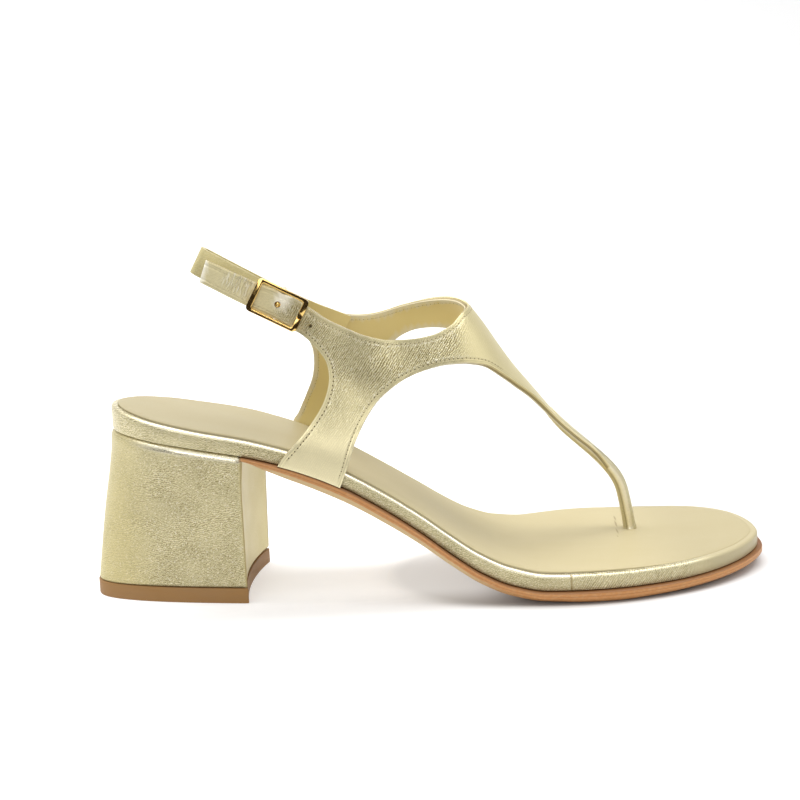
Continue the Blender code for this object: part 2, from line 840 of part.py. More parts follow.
def slingback_rows():
    """Middle line of the slingback from the medial lap round its fold to the centre bar."""
    half, end_half = STRAP_THICKNESS / 2, STRAP_END_THICKNESS / 2
    outer_run = WALL + GAP + half
    radius = (MEDIAL_RUN_DEPTH - outer_run) / 2
    centre = STRAP_FOLD + radius
    free = [(along, depth, half) for along, depth in FREE_ROWS]
    rows = smooth_run(lap_rows() + free, OUTLINE_STEPS)
    for step in range(FOLD_STEPS + 1):
        angle = math.pi * step / FOLD_STEPS
        rows.append((centre - radius * math.sin(angle), outer_run + radius * (1.0 + math.cos(angle)), half))
    rows += [(along, outer_run, half) for along in OUTER_STATIONS]
    curl = BAR_RADIUS + GAP + end_half
    for step in range(CURL_STEPS + 1):
        angle = CURL_START - CURL_TURN * step / CURL_STEPS
        rows.append((curl * math.cos(angle), bar_depth() - curl * math.sin(angle), end_half))
    return rows


def ribbon_outline(rows):
    """Closed outline of a band from its middle line and half thickness."""
    left, right = [], []
    for before, here, after in zip(rows[:1] + rows[:-1], rows, rows[1:] + rows[-1:]):
        along, across = after[0] - before[0], after[1] - before[1]
        length = math.hypot(along, across)
        shift = (-across / length * here[2], along / length * here[2])
        left.append((here[0] + shift[0], here[1] + shift[1]))
        right.append((here[0] - shift[0], here[1] - shift[1]))
    return left + right[::-1]


def box_helper(name, collection, material, low, high):
    """Box cutter or joiner between two corners."""
    form = bmesh.new()
    bmesh.ops.create_cube(form, size=1.0)
    size = Vector(high) - Vector(low)
    bmesh.ops.scale(form, vec=size, verts=form.verts)
    bmesh.ops.translate(form, vec=(Vector(low) + Vector(high)) / 2, verts=form.verts)
    return as_helper(mesh_object(name, form, collection, material))


def build_slingback(collection, cutters, material):
    """Slingback strap: a band folded at the back and curled round the buckle's centre bar."""
    outline = [(along, -depth) for along, depth in ribbon_outline(slingback_rows())]
    form = flat_blank([outline], STRAP_WIDTH)
    for vertex in form.verts:
        vertex.co.z -= STRAP_FAN * max(-vertex.co.x, 0.0)
    strap = mesh_object("heel_strap", form, collection, material)
    strap.matrix_world = strap_matrix(True)
    reach = BAR_RADIUS + 2 * GAP + STRAP_END_THICKNESS + SLOT_MARGIN
    slot = PRONG_WIDTH / 2 + 2 * GAP
    slot_box = box_helper("prong_slot", cutters, material, (-reach, -bar_depth() - reach, -slot),
                          (reach, -bar_depth() + reach, slot))
    slot_box.matrix_world = strap.matrix_world
    boolean(strap, "DIFFERENCE", slot_box)
    return strap


def rounded_rectangle(length, width, radius, steps=5):
    """Outline of a rectangle with round corners about zero."""
    outline = []
    for quarter, (along, across) in enumerate(((1, 1), (-1, 1), (-1, -1), (1, -1))):
        for step in range(steps + 1):
            angle = math.pi / 2 * (quarter + step / steps)
            x = along * (length / 2 - radius) + radius * math.cos(angle)
            y = across * (width / 2 - radius) + radius * math.sin(angle)
            outline.append((x, y))
    return outline


def build_frame(collection, cutters, material):
    """Buckle frame with its centre bar dropped behind the strap and a notch for the prong."""
    window = (FRAME_LENGTH - 2 * FRAME_END_BAR, FRAME_WIDTH - 2 * FRAME_RAIL)
    outer = rounded_rectangle(FRAME_LENGTH, FRAME_WIDTH, FRAME_CORNER)
    inner = rounded_rectangle(*window, FRAME_CORNER / 2)
    form = flat_blank([outer, inner], FRAME_THICKNESS)
    bmesh.ops.translate(form, vec=(0.0, 0.0, GAP + FRAME_THICKNESS / 2), verts=form.verts)
    frame = mesh_object("buckle_frame", form, collection, material)
    frame.matrix_world = strap_matrix(False)
    rail_inside, rail_outside = window[1] / 2, FRAME_WIDTH / 2
    for name, sign in (("upper_lug", 1), ("lower_lug", -1)):
        sides = sorted((sign * rail_inside, sign * (rail_outside - LUG_SET_IN)))
        low = (-BAR_RADIUS - LUG_MARGIN, sides[0], -bar_depth() - BAR_RADIUS - LUG_MARGIN)
        high = (BAR_RADIUS + LUG_MARGIN, sides[1], GAP + FRAME_THICKNESS / 2)
        lug = box_helper(name, cutters, material, low, high)
        lug.matrix_world = frame.matrix_world
        boolean(frame, "UNION", lug)
    bar_form = bmesh.new()
    bmesh.ops.create_cone(bar_form, cap_ends=True, segments=ROUND_SEGMENTS, radius1=BAR_RADIUS,
                          radius2=BAR_RADIUS, depth=rail_inside + rail_outside)
    bmesh.ops.rotate(bar_form, matrix=Matrix.Rotation(math.radians(90.0), 3, "X"), verts=bar_form.verts)
    bmesh.ops.translate(bar_form, vec=(0.0, 0.0, -bar_depth()), verts=bar_form.verts)
    bar = as_helper(mesh_object("centre_bar", bar_form, cutters, material))
    bar.matrix_world = frame.matrix_world
    boolean(frame, "UNION", bar)
    floor = GAP + FRAME_THICKNESS - NOTCH_DEPTH
    low = (window[0] / 2 - NOTCH_MARGIN, -NOTCH_WIDTH / 2, floor)
    high = (FRAME_LENGTH / 2 + NOTCH_MARGIN, NOTCH_WIDTH / 2, floor + FRAME_THICKNESS)
    notch = box_helper("prong_notch", cutters, material, low, high)
    notch.matrix_world = frame.matrix_world
    boolean(frame, "DIFFERENCE", notch)
    return frame


def build_prong(collection, material):
    """Prong: a loop round the centre bar and a riser whose round tip shows in the strap's hole."""
    loop = BAR_RADIUS + GAP + PRONG_LOOP
    riser = PRONG_RISER / 2
    start = math.acos(riser / loop)
    outline = []
    for step in range(TIP_STEPS + 1):
        angle = math.pi * step / TIP_STEPS
        outline.append((riser * math.cos(angle), PRONG_RISE + riser * (math.sin(angle) - 1.0)))
    for step in range(PRONG_STEPS + 1):
        angle = math.pi - start + (math.pi + 2 * start) * step / PRONG_STEPS
        outline.append((loop * math.cos(angle), loop * math.sin(angle) - bar_depth()))
    hole = BAR_RADIUS + GAP
    turns = [2 * math.pi * step / ROUND_SEGMENTS for step in range(ROUND_SEGMENTS)]
    eye = [(hole * math.cos(turn), hole * math.sin(turn) - bar_depth()) for turn in turns]
    form = flat_blank([outline, eye], PRONG_WIDTH)
    prong = mesh_object("buckle_prong", form, collection, material)
    prong.matrix_world = strap_matrix(True)
    return prong


def main():
    """Build every piece of the sandal."""
    clear_scene()
    parts = new_collection(OBJECT_NAME)
    cutters = new_collection("cutters")
    gold = new_material(*GOLD_LEATHER)
    metal = new_material(*BUCKLE_METAL)
    build_outsole(parts, new_material(*SOLE_LEATHER))
    board = build_board(parts, gold)
    sock = build_sock(parts, new_material(*SOCK_LEATHER))
    build_heel(parts, gold)
    build_lift(parts, new_material(*LIFT_RUBBER))
    build_upper(parts, cutters, gold)
    post_hole = build_post(cutters, gold, "post_hole", POST_ROWS + (POST_HOLE_FOOT,), POST_CLEARANCE)
    boolean(board, "DIFFERENCE", post_hole)
    boolean(sock, "DIFFERENCE", post_hole)
    build_slingback(parts, cutters, gold)
    build_frame(parts, cutters, metal)
    build_prong(parts, metal)


main()
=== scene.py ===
"""Finished look of the toe post sandal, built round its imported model.

Tables are in millimetres along the shoe: stations run from the back of the heel seat to the toe, sides
to the medial side and heights up from the floor. Meshes are in metres about the model's own origin.
"""

import bisect
import logging
import math
from contextlib import contextmanager
from dataclasses import dataclass, field
from enum import Enum
from typing import Any, Callable, Iterable, Iterator, Sequence

import bmesh
import bpy
from mathutils import Matrix, Vector
from mathutils.bvhtree import BVHTree
from mathutils.kdtree import KDTree


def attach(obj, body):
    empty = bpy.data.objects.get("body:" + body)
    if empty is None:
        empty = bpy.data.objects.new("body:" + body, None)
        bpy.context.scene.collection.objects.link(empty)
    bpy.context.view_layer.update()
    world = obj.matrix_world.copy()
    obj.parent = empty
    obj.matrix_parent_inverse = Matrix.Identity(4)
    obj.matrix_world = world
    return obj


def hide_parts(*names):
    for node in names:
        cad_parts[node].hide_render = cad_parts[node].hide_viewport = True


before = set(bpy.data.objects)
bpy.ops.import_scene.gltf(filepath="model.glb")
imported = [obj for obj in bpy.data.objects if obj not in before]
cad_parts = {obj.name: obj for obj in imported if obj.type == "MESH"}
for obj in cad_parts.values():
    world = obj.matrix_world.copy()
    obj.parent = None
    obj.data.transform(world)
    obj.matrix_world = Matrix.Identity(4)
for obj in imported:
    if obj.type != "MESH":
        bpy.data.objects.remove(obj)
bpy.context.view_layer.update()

MM = 0.001
TINY = 1e-9
ORIGIN = Vector((112.57, 2.84, 0.0))
ALONG = Vector((1.0, 0.0, 0.0))
ACROSS = Vector((0.0, 1.0, 0.0))
UP = Vector((0.0, 0.0, 1.0))
IMAGE_SIZE = 800
LOG = logging.getLogger("toe_post_sandal")

Piece = bpy.types.Object
Socket = bpy.types.NodeSocket
Row = tuple[float, ...]
Rows = Sequence[Row]
Span = tuple[float, float]
Colour = tuple[float, float, float]


class Side(Enum):
    """Side of the shoe, with the sign of its side axis."""

    LATERAL = -1
    MEDIAL = 1


class Slot(Enum):
    """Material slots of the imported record."""

    GOLD = "gold_leather"
    SOCK = "sock_leather"
    SOLE = "sole_leather"
    LIFT = "lift_rubber"
    METAL = "buckle_metal"


class Profile:
    """Smooth value along the shoe through the rows of a table, without overshoot between rows."""

    def __init__(self, rows: Rows, column: int) -> None:
        """Take the first column as stations and one other column as values.

        Args:
            rows: table with its stations in rising order.
            column: column of the values.
        """
        self.stations = [row[0] for row in rows]
        self.values = [row[column] for row in rows]
        steps = list(zip(self.stations, self.values))
        rates = [(b[1] - a[1]) / (b[0] - a[0]) for a, b in zip(steps, steps[1:])]
        self.slopes = [rates[0]]
        for before, after in zip(rates, rates[1:]):
            level = before * after <= 0.0
            self.slopes.append(0.0 if level else 2.0 * before * after / (before + after))
        self.slopes.append(rates[-1])

    def __call__(self, station: float) -> float:
        """Value at a station.

        Args:
            station: place along the shoe.

        Returns:
            Value of the column there.
        """
        last = len(self.stations) - 2
        row = min(max(bisect.bisect_right(self.stations, station) - 1, 0), last)
        length = self.stations[row + 1] - self.stations[row]
        share = min(max((station - self.stations[row]) / length, 0.0), 1.0)
        rest = 1.0 - share
        start = self.values[row] * (1.0 + 2.0 * share) + self.slopes[row] * length * share
        end = self.values[row + 1] * (3.0 - 2.0 * share) - self.slopes[row + 1] * length * rest
        return start * rest * rest + end * share * share


def soft_step(value: float, start: float, end: float) -> float:
    """Smooth rise of a value from 0 at start to 1 at end."""
    share = min(max((value - start) / (end - start), 0.0), 1.0)
    return share * share * (3.0 - 2.0 * share)


def spline_point(before: Row, start: Row, end: Row, after: Row, share: float) -> Row:
    """Point on the smooth curve between two rows.

    Args:
        before: row ahead of the stretch.
        start: row where the stretch starts.
        end: row where it ends.
        after: row behind it.
        share: place along the stretch, from 0 to 1.

    Returns:
        One value per column.
    """
    return tuple(
        0.5 * (2 * b + (c - a) * share + (2 * a - 5 * b + 4 * c - d) * share**2
               + (3 * b - a - 3 * c + d) * share**3)
        for a, b, c, d in zip(before, start, end, after)
    )


def smooth_run(rows: Rows, steps: int, closed: bool = False) -> list[Row]:
    """Points of a smooth curve through the rows.

    Args:
        rows: rows that the curve passes.
        steps: points per stretch.
        closed: whether the curve goes on from the last row to the first.

    Returns:
        Points once round, or with both ends included.
    """
    padded = [rows[-1], *rows, rows[0], rows[1]] if closed else [rows[0], *rows, rows[-1]]
    points = []
    for row in range(len(padded) - 3):
        points += [spline_point(*padded[row:row + 4], step / steps) for step in range(steps)]
    return points if closed else points + [tuple(rows[-1])]


def grow(points: Rows, margin: float) -> list[Row]:
    """Closed outline moved outwards, for points that run clockwise from above.

    Args:
        points: outline in plan.
        margin: distance outwards, or inwards where negative.

    Returns:
        Moved outline.
    """
    points = list(points)
    moved = []
    for before, here, after in zip(points[-1:] + points[:-1], points, points[1:] + points[:1]):
        along, across = after[0] - before[0], after[1] - before[1]
        length = math.hypot(along, across)
        moved.append((here[0] + margin * across / length, here[1] - margin * along / length))
    return moved


def run_lengths(points: Rows) -> list[float]:
    """Distance of each point from the start of its run, over the first three columns.

    Args:
        points: run of points, flat or in space.

    Returns:
        One distance per point.
    """
    lengths = [0.0]
    for a, b in zip(points, points[1:]):
        lengths.append(lengths[-1] + math.dist(a[:3], b[:3]))
    return lengths


def evenly(points: Rows, count: int) -> list[Row]:
    """Open run of points spread evenly along its length.

    Args:
        points: run of points, flat or in space; columns after the third are carried along.
        count: number of points wanted.

    Returns:
        Points with both ends included.
    """
    lengths = run_lengths(points)
    spread = []
    for step in range(count):
        target = lengths[-1] * step / (count - 1)
        row = min(max(bisect.bisect_right(lengths, target) - 1, 0), len(points) - 2)
        share = (target - lengths[row]) / max(lengths[row + 1] - lengths[row], TINY)
        spread.append(tuple(a + (b - a) * share for a, b in zip(points[row], points[row + 1])))
    return spread


def spaced(start: float, end: float, step: float) -> list[float]:
    """Evenly spaced positions about a step apart, with both ends included."""
    count = max(round((end - start) / step), 1)
    return [start + (end - start) * index / count for index in range(count + 1)]


def all_spaced(rows: Rows) -> list[float]:
    """Evenly spaced positions of several stretches, each given by its start, end and step."""
    return [position for row in rows for position in spaced(*row)]


def tree_of(points: Rows) -> KDTree:
    """Search tree of points.

    Args:
        points: points, flat or in space.

    Returns:
        Balanced tree that gives the number of the nearest point.
    """
    tree = KDTree(len(points))
    for index, point in enumerate(points):
        tree.insert((*point, 0.0)[:3], index)
    tree.balance()
    return tree


def sharp(edge: Any) -> bool:
    """Whether an edge of an edit mesh is a clear corner between two faces."""
    return edge.is_manifold and edge.calc_face_angle(0.0) > 1.0


def top_corner(edge: Any) -> bool:
    """Whether an edge is a corner of a flat blank's upper face."""
    return sharp(edge) and min(vertex.co.z for vertex in edge.verts) > 0.0


def bottom_corner(edge: Any) -> bool:
    """Whether an edge is a corner of a flat blank's lower face."""
    return sharp(edge) and max(vertex.co.z for vertex in edge.verts) < 0.0


@dataclass
class Last:
    """Form that the shoe is made on: the outline in plan, the sole line, the instep and the ankle loop."""

    # Edge of the wrapped board in plan, round from the back of the heel: station, side
    outline: Rows = (
        (0.0, 0.0), (4.5, -12.5), (16.0, -21.6), (32.0, -25.2), (48.0, -25.4), (68.0, -25.2),
        (90.0, -26.9), (110.0, -30.0), (130.0, -33.6), (150.0, -36.8), (168.0, -37.2), (185.0, -34.6),
        (205.0, -27.6), (221.0, -17.0), (230.5, -5.0), (232.6, 6.0), (230.8, 18.0), (225.5, 28.5),
        (216.0, 36.5), (202.0, 41.0), (184.0, 43.0), (165.0, 42.0), (146.0, 36.0), (130.0, 28.2),
        (117.0, 21.8), (103.0, 18.0), (88.0, 18.8), (70.0, 22.4), (48.0, 25.6), (32.0, 25.4),
        (16.0, 21.6), (4.5, 12.5),
    )
    # Side view of the sole: station, feather line height, board thickness, outsole thickness
    sole_rows: Rows = (
        (-4.0, 61.6, 9.4, 1.2), (0.0, 61.2, 8.9, 1.2), (8.0, 60.5, 7.7, 1.2), (16.0, 59.4, 6.9, 1.2),
        (32.0, 56.8, 5.9, 1.2), (48.0, 53.6, 5.6, 1.2), (56.0, 51.4, 5.5, 2.8), (64.0, 48.9, 5.4, 4.0),
        (80.0, 42.3, 5.3, 4.6), (96.0, 33.1, 5.6, 4.4), (108.0, 25.1, 5.8, 4.1), (118.0, 17.6, 6.0, 3.9),
        (128.0, 11.0, 6.0, 3.7), (138.0, 6.7, 5.9, 3.5), (150.0, 4.6, 5.6, 3.4), (160.0, 4.5, 5.5, 3.9),
        (174.0, 4.5, 5.5, 4.2), (192.0, 4.6, 5.5, 3.8), (210.0, 5.2, 5.4, 3.5), (224.0, 6.1, 5.2, 3.5),
        (240.0, 7.4, 5.1, 3.6),
    )
    # Ridge over the instep: station, height, side
    crest_rows: Rows = (
        (60.0, 150.0, 0.0), (85.0, 136.0, 0.0), (103.0, 121.0, 0.0), (113.0, 112.5, 0.3), (123.0, 104.7, 0.8),
        (126.0, 102.2, 0.9), (128.5, 99.3, 1.1), (131.2, 95.8, 1.5), (134.0, 91.8, 1.9), (139.4, 83.4, 3.1),
        (144.7, 75.7, 4.3), (150.2, 68.8, 5.5), (155.6, 61.9, 6.6), (161.0, 55.5, 7.7), (166.7, 49.9, 8.9),
        (172.4, 44.8, 10.0), (178.0, 39.6, 11.1), (184.0, 32.0, 12.2),
    )
    # Ankle loop in plan: station, lateral side, medial side, share of the arched form, medial fullness
    loop_rows: Rows = (
        (30.0, -7.0, 3.0, 0.0, 0.0), (62.0, -7.0, 3.9, 0.0, 0.0), (70.4, -7.0, 6.8, 0.0, 0.0),
        (74.0, -9.0, 9.2, 0.0, 0.0), (79.0, -13.0, 13.0, 0.02, 0.0), (86.0, -17.8, 17.4, 0.15, 0.5),
        (95.0, -20.9, 20.6, 0.5, 5.0), (104.0, -22.5, 22.0, 0.85, 7.0), (114.0, -22.5, 22.0, 1.0, 5.0),
        (128.0, -22.5, 22.0, 1.0, 2.0), (142.0, -22.5, 22.0, 1.0, 0.0), (190.0, -22.5, 22.0, 1.0, 0.0),
    )
    outline_steps: int = 10
    girth: float = 80.0
    wall: float = 2.0
    gap: float = 0.3
    tuck_height: float = 6.5
    strap_middle: Span = (61.4, 103.1)
    strap_slope: float = math.radians(28.5)
    strap_width: float = 9.6
    strap_foot_share: float = 0.6

    def __post_init__(self) -> None:
        """Turn the tables into smooth profiles."""
        self.rim = smooth_run(self.outline, self.outline_steps, True)
        self.feather = Profile(self.sole_rows, 1)
        self.board = Profile(self.sole_rows, 2)
        self.outsole = Profile(self.sole_rows, 3)
        self.crest = Profile(self.crest_rows, 1)
        self.ridge = Profile(self.crest_rows, 2)
        self.loop = {Side.LATERAL: Profile(self.loop_rows, 1), Side.MEDIAL: Profile(self.loop_rows, 2)}
        self.arched = Profile(self.loop_rows, 3)
        self.fullness = Profile(self.loop_rows, 4)

    def rim_side(self, station: float, side: Side) -> float:
        """Side position of the board's edge.

        Args:
            station: place along the shoe.
            side: which edge.

        Returns:
            Side position in millimetres.
        """
        widest = 0.0
        for a, b in zip(self.rim, self.rim[1:] + self.rim[:1]):
            if a[0] != b[0] and min(a[0], b[0]) <= station <= max(a[0], b[0]):
                across = a[1] + (b[1] - a[1]) * (station - a[0]) / (b[0] - a[0])
                widest = max(widest, across * side.value)
        return widest * side.value

    def strap_height(self, station: float) -> float:
        """Height of the fastened strap's middle line."""
        return self.strap_middle[1] - (station - self.strap_middle[0]) * math.tan(self.strap_slope)

    def foot_side(self, station: float, side: Side) -> float:
        """Side position of the upper's outer face where it meets the sole."""
        clear = self.rim_side(station, side) + side.value * (self.gap + self.wall)
        return clear + (self.fullness(station) if side is Side.MEDIAL else 0.0)

    def point(self, station: float, girth: float) -> Vector:
        """Outer face of the upper at a point of its flat pattern.

        Args:
            station: place along the shoe.
            girth: place round the foot, from the lateral sole edge through 0 on the ridge to the medial one.

        Returns:
            Point in millimetres.
        """
        side = Side.LATERAL if girth < 0.0 else Side.MEDIAL
        turn = 1.0 - abs(girth) / self.girth
        base, top, middle = self.feather(station), self.crest(station), self.ridge(station)
        foot = self.foot_side(station, side)
        angle = turn * math.pi / 2
        height = base + (top - base) * math.sin(angle)
        arch = middle + (foot - middle) * math.cos(angle)
        rise = height - self.strap_height(station)
        along = station - rise * math.cos(self.strap_slope) * math.sin(self.strap_slope)
        drop = self.strap_foot_share * self.strap_width / math.cos(self.strap_slope)
        tucked = base + self.tuck_height
        share = soft_step(height, tucked, self.strap_height(station) - drop)
        wall = foot + (self.loop[side](along) - foot) * share
        return Vector((station, wall + (arch - wall) * self.arched(station), height))

    def at_height(self, station: float, side: Side, height: float) -> Row:
        """Pattern point at a height above the floor.

        Args:
            station: place along the shoe.
            side: which side of the ridge.
            height: height above the floor.

        Returns:
            Station and girth.
        """
        base = self.feather(station)
        lift = min(max((height - base) / (self.crest(station) - base), 0.0), 1.0)
        turn = math.asin(lift) * 2.0 / math.pi
        return station, side.value * (1.0 - turn) * self.girth

    def at_offset(self, station: float, side: Side, offset: float) -> Row:
        """Station and girth at a side distance from the ridge."""
        half = abs(self.foot_side(station, side) - self.ridge(station))
        return station, side.value * math.asin(offset / half) * 2.0 / math.pi * self.girth

    def frame_at(self, station: float, girth: float) -> tuple[Vector, Vector, Vector]:
        """Directions of the surface at a pattern point.

        Args:
            station: place along the shoe.
            girth: place round the foot.

        Returns:
            Change per station, change per girth and outward normal.
        """
        step = 0.4
        along = (self.point(station + step, girth) - self.point(station - step, girth)) / (2 * step)
        around = (self.point(station, girth + step) - self.point(station, girth - step)) / (2 * step)
        return along, around, around.cross(along).normalized() * -1.0


class Bench:
    """Modelling tools that work on one object at a time."""

    # Merge distance and flat angle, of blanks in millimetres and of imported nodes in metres
    BLANK_MERGE: Span = (0.002, math.radians(0.2))
    NODE_MERGE: Span = (0.01 * MM, math.radians(0.6))
    CUT_TOLERANCE: float = 0.0001
    CORNER: float = math.radians(50.0)

    @staticmethod
    def pick(item: Piece) -> None:
        """Make one object the only selected and the active one.

        Args:
            item: the object.
        """
        bpy.ops.object.select_all(action="DESELECT")
        item.select_set(True)
        bpy.context.view_layer.objects.active = item

    @staticmethod
    @contextmanager
    def editing(item: Piece) -> Iterator[None]:
        """Edit mode on one object, with all of it selected at first.

        Args:
            item: mesh object.

        Yields:
            Nothing, while the mode lasts.
        """
        Bench.pick(item)
        bpy.ops.object.mode_set(mode="EDIT")
        bpy.ops.mesh.select_all(action="SELECT")
        yield
        bpy.ops.object.mode_set(mode="OBJECT")

    @staticmethod
    def place(name: str, data: bpy.types.ID) -> Piece:
        """New object in the scene.

        Args:
            name: name of the object.
            data: its mesh or curve.

        Returns:
            The object, picked.
        """
        item = bpy.data.objects.new(name, data)
        bpy.context.scene.collection.objects.link(item)
        Bench.pick(item)
        return item

    @staticmethod
    def blank(name: str, outline: Rows, thickness: float = 0.0) -> Piece:
        """Flat piece cut to an outline.

        Args:
            name: name of the object.
            outline: closed outline in plan.
            thickness: thickness about zero, or none for a single sheet.

        Returns:
            Mesh object with single flat faces.
        """
        curve = bpy.data.curves.new(name, "CURVE")
        curve.dimensions = "2D"
        curve.fill_mode = "BOTH"
        curve.extrude = thickness / 2
        spline = curve.splines.new("POLY")
        spline.points.add(len(outline) - 1)
        for point, (along, across) in zip(spline.points, outline):
            point.co = (along, across, 0.0, 1.0)
        spline.use_cyclic_u = True
        Bench.place(name, curve)
        bpy.ops.object.convert(target="MESH")
        item = bpy.context.view_layer.objects.active
        Bench.merge(item, *Bench.BLANK_MERGE)
        return item

    @staticmethod
    def merge(item: Piece, distance: float, flat_angle: float) -> None:
        """Merge doubles and turn coplanar faces into single ones.

        Args:
            item: mesh object.
            distance: merge distance.
            flat_angle: angle up to which faces count as one plane.
        """
        with Bench.editing(item):
            bpy.ops.mesh.remove_doubles(threshold=distance)
            bpy.ops.mesh.dissolve_limited(angle_limit=flat_angle)

    @staticmethod
    def slice(item: Piece, axis: Vector, positions: Iterable[float]) -> None:
        """Cut a piece across one axis.

        Args:
            item: mesh object.
            axis: direction of the axis.
            positions: places of the cuts along it.
        """
        with Bench.editing(item):
            for position in positions:
                bpy.ops.mesh.select_all(action="SELECT")
                bpy.ops.mesh.bisect(plane_co=axis * position, plane_no=axis, threshold=Bench.CUT_TOLERANCE)

    @staticmethod
    def select_edges(item: Piece, wanted: Callable[[Any], bool]) -> None:
        """Select some edges of the piece that is in edit mode, and nothing else.

        Args:
            item: mesh object in edit mode.
            wanted: test of an edge of the edit mesh.
        """
        bpy.ops.mesh.select_mode(type="EDGE")
        bpy.ops.mesh.select_all(action="DESELECT")
        form = bmesh.from_edit_mesh(item.data)
        for edge in form.edges:
            edge.select_set(wanted(edge))
        bmesh.update_edit_mesh(item.data)

    @staticmethod
    def round_edges(item: Piece, wanted: Callable[[Any], bool], offset: float,
                    segments: int) -> None:
        """Round chosen edges of a piece.

        Args:
            item: mesh object.
            wanted: test of an edge of the edit mesh.
            offset: size of the rounding.
            segments: number of faces across it.
        """
        with Bench.editing(item):
            Bench.select_edges(item, wanted)
            bpy.ops.mesh.bevel(offset=offset, segments=segments, affect="EDGES")

    @staticmethod
    def modify(item: Piece, kind: str, **settings: Any) -> None:
        """Add a modifier and apply it.

        Args:
            item: mesh object.
            kind: type of the modifier.
            settings: its settings.
        """
        Bench.pick(item)
        modifier = item.modifiers.new(kind.lower(), kind)
        for name, value in settings.items():
            setattr(modifier, name, value)
        bpy.ops.object.modifier_apply(modifier=modifier.name)

    @staticmethod
    def soften(item: Piece, width: float, segments: int = 3) -> None:
        """Round every corner of a piece."""
        Bench.modify(item, "BEVEL", width=width, segments=segments, limit_method="ANGLE",
                     angle_limit=Bench.CORNER)

    @staticmethod
    def from_form(name: str, form: bmesh.types.BMesh) -> Piece:
        """New object from an edit form, which is freed.

        Args:
            name: name of the object.
            form: the form.

        Returns:
            Mesh object.
        """
        mesh = bpy.data.meshes.new(name)
        form.to_mesh(mesh)
        form.free()
        return Bench.place(name, mesh)

    @staticmethod
    def tube(name: str, rings: Sequence[Rows]) -> Piece:
        """Skin over rings of points, closed at both ends.

        Args:
            name: name of the object.
            rings: points of each ring, the same number in all.

        Returns:
            Mesh object with its faces outwards and its vertices in the order of the points.
        """
        form = bmesh.new()
        loops = [[form.verts.new(point) for point in ring] for ring in rings]
        for below, above in zip(loops, loops[1:]):
            for index in range(len(below)):
                form.faces.new((below[index - 1], below[index], above[index], above[index - 1]))
        form.faces.new(loops[0])
        form.faces.new(loops[-1])
        item = Bench.from_form(name, form)
        with Bench.editing(item):
            bpy.ops.mesh.normals_make_consistent(inside=False)
        return item

    @staticmethod
    def from_node(node: str, name: str) -> Piece:
        """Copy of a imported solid, merged into flat faces.

        Args:
            node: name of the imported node.
            name: name of the copy.

        Returns:
            Mesh object in metres.
        """
        item = Bench.place(name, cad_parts[node].data.copy())
        item.data.materials.clear()
        Bench.merge(item, *Bench.NODE_MERGE)
        return item

    @staticmethod
    def mark(item: Piece, rows: Sequence[dict[str, float]]) -> None:
        """Store the numbers that the finishes read.

        Args:
            item: mesh object.
            rows: numbers by the name of their mark, one row per vertex.
        """
        for name in rows[0]:
            layer = item.data.attributes.new(name, "FLOAT", "POINT")
            layer.data.foreach_set("value", [row[name] for row in rows])

    @staticmethod
    def to_model(item: Piece) -> None:
        """Bring a piece from millimetres along the shoe to the model's frame.

        Args:
            item: mesh object.
        """
        Bench.pick(item)
        item.location = ORIGIN * -MM
        item.scale = (MM, MM, MM)
        bpy.ops.object.transform_apply(location=True, rotation=True, scale=True)

    @staticmethod
    def dress(item: Piece, materials: Sequence[bpy.types.Material], slot: Slot,
              smooth: float) -> None:
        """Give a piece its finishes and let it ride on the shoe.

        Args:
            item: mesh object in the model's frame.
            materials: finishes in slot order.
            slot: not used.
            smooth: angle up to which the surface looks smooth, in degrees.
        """
        for material in materials:
            item.data.materials.append(material)
        Bench.pick(item)
        bpy.ops.object.shade_smooth_by_angle(angle=math.radians(smooth))
        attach(item, "root")
        LOG.info("%s: %d faces", item.name, len(item.data.polygons))


class Value:
    """Number on a shader socket; arithmetic on it adds Math nodes."""

    def __init__(self, graph: "Graph", socket: Socket) -> None:
        """Wrap a socket of a graph."""
        self.graph = graph
        self.socket = socket

    def _math(self, operation: str, *terms: "Value | float") -> "Value":
        """Result of a Math node on values or numbers, in socket order."""
        node = self.graph.node("ShaderNodeMath", {"operation": operation}, dict(enumerate(terms)))
        return Value(self.graph, node.outputs[0])

    def __add__(self, other: "Value | float") -> "Value":
        """Sum."""
        return self._math("ADD", self, other)

    def __sub__(self, other: "Value | float") -> "Value":
        """Difference."""
        return self._math("SUBTRACT", self, other)

    def __rsub__(self, other: float) -> "Value":
        """Difference from a number."""
        return self._math("SUBTRACT", other, self)

    def __mul__(self, other: "Value | float") -> "Value":
        """Product."""
        return self._math("MULTIPLY", self, other)

    def __truediv__(self, other: "Value | float") -> "Value":
        """Quotient."""
        return self._math("DIVIDE", self, other)

    def __pow__(self, other: "Value | float") -> "Value":
        """Power."""
        return self._math("POWER", self, other)

    def __abs__(self) -> "Value":
        """Size without sign."""
        return self._math("ABSOLUTE", self)

    __radd__ = __add__
    __rmul__ = __mul__

    def most(self, other: "Value | float") -> "Value":
        """Larger of two values."""
        return self._math("MAXIMUM", self, other)

    def rise(self, start: float, end: float) -> "Value":
        """Smooth rise from 0 to 1 between two values.

        Args:
            start: value where it leaves 0.
            end: value where it reaches 1.

        Returns:
            Share between 0 and 1.
        """
        settings = {"interpolation_type": "SMOOTHSTEP"}
        inputs = {"Value": self, "From Min": start, "From Max": end}
        node = self.graph.node("ShaderNodeMapRange", settings, inputs)
        return Value(self.graph, node.outputs["Result"])

    def ridge(self, middle: float, reach: float) -> "Value":
        """Soft band of 1 round a middle value that fades out at a distance from it."""
        return 1.0 - abs(self - middle).rise(0.0, reach)


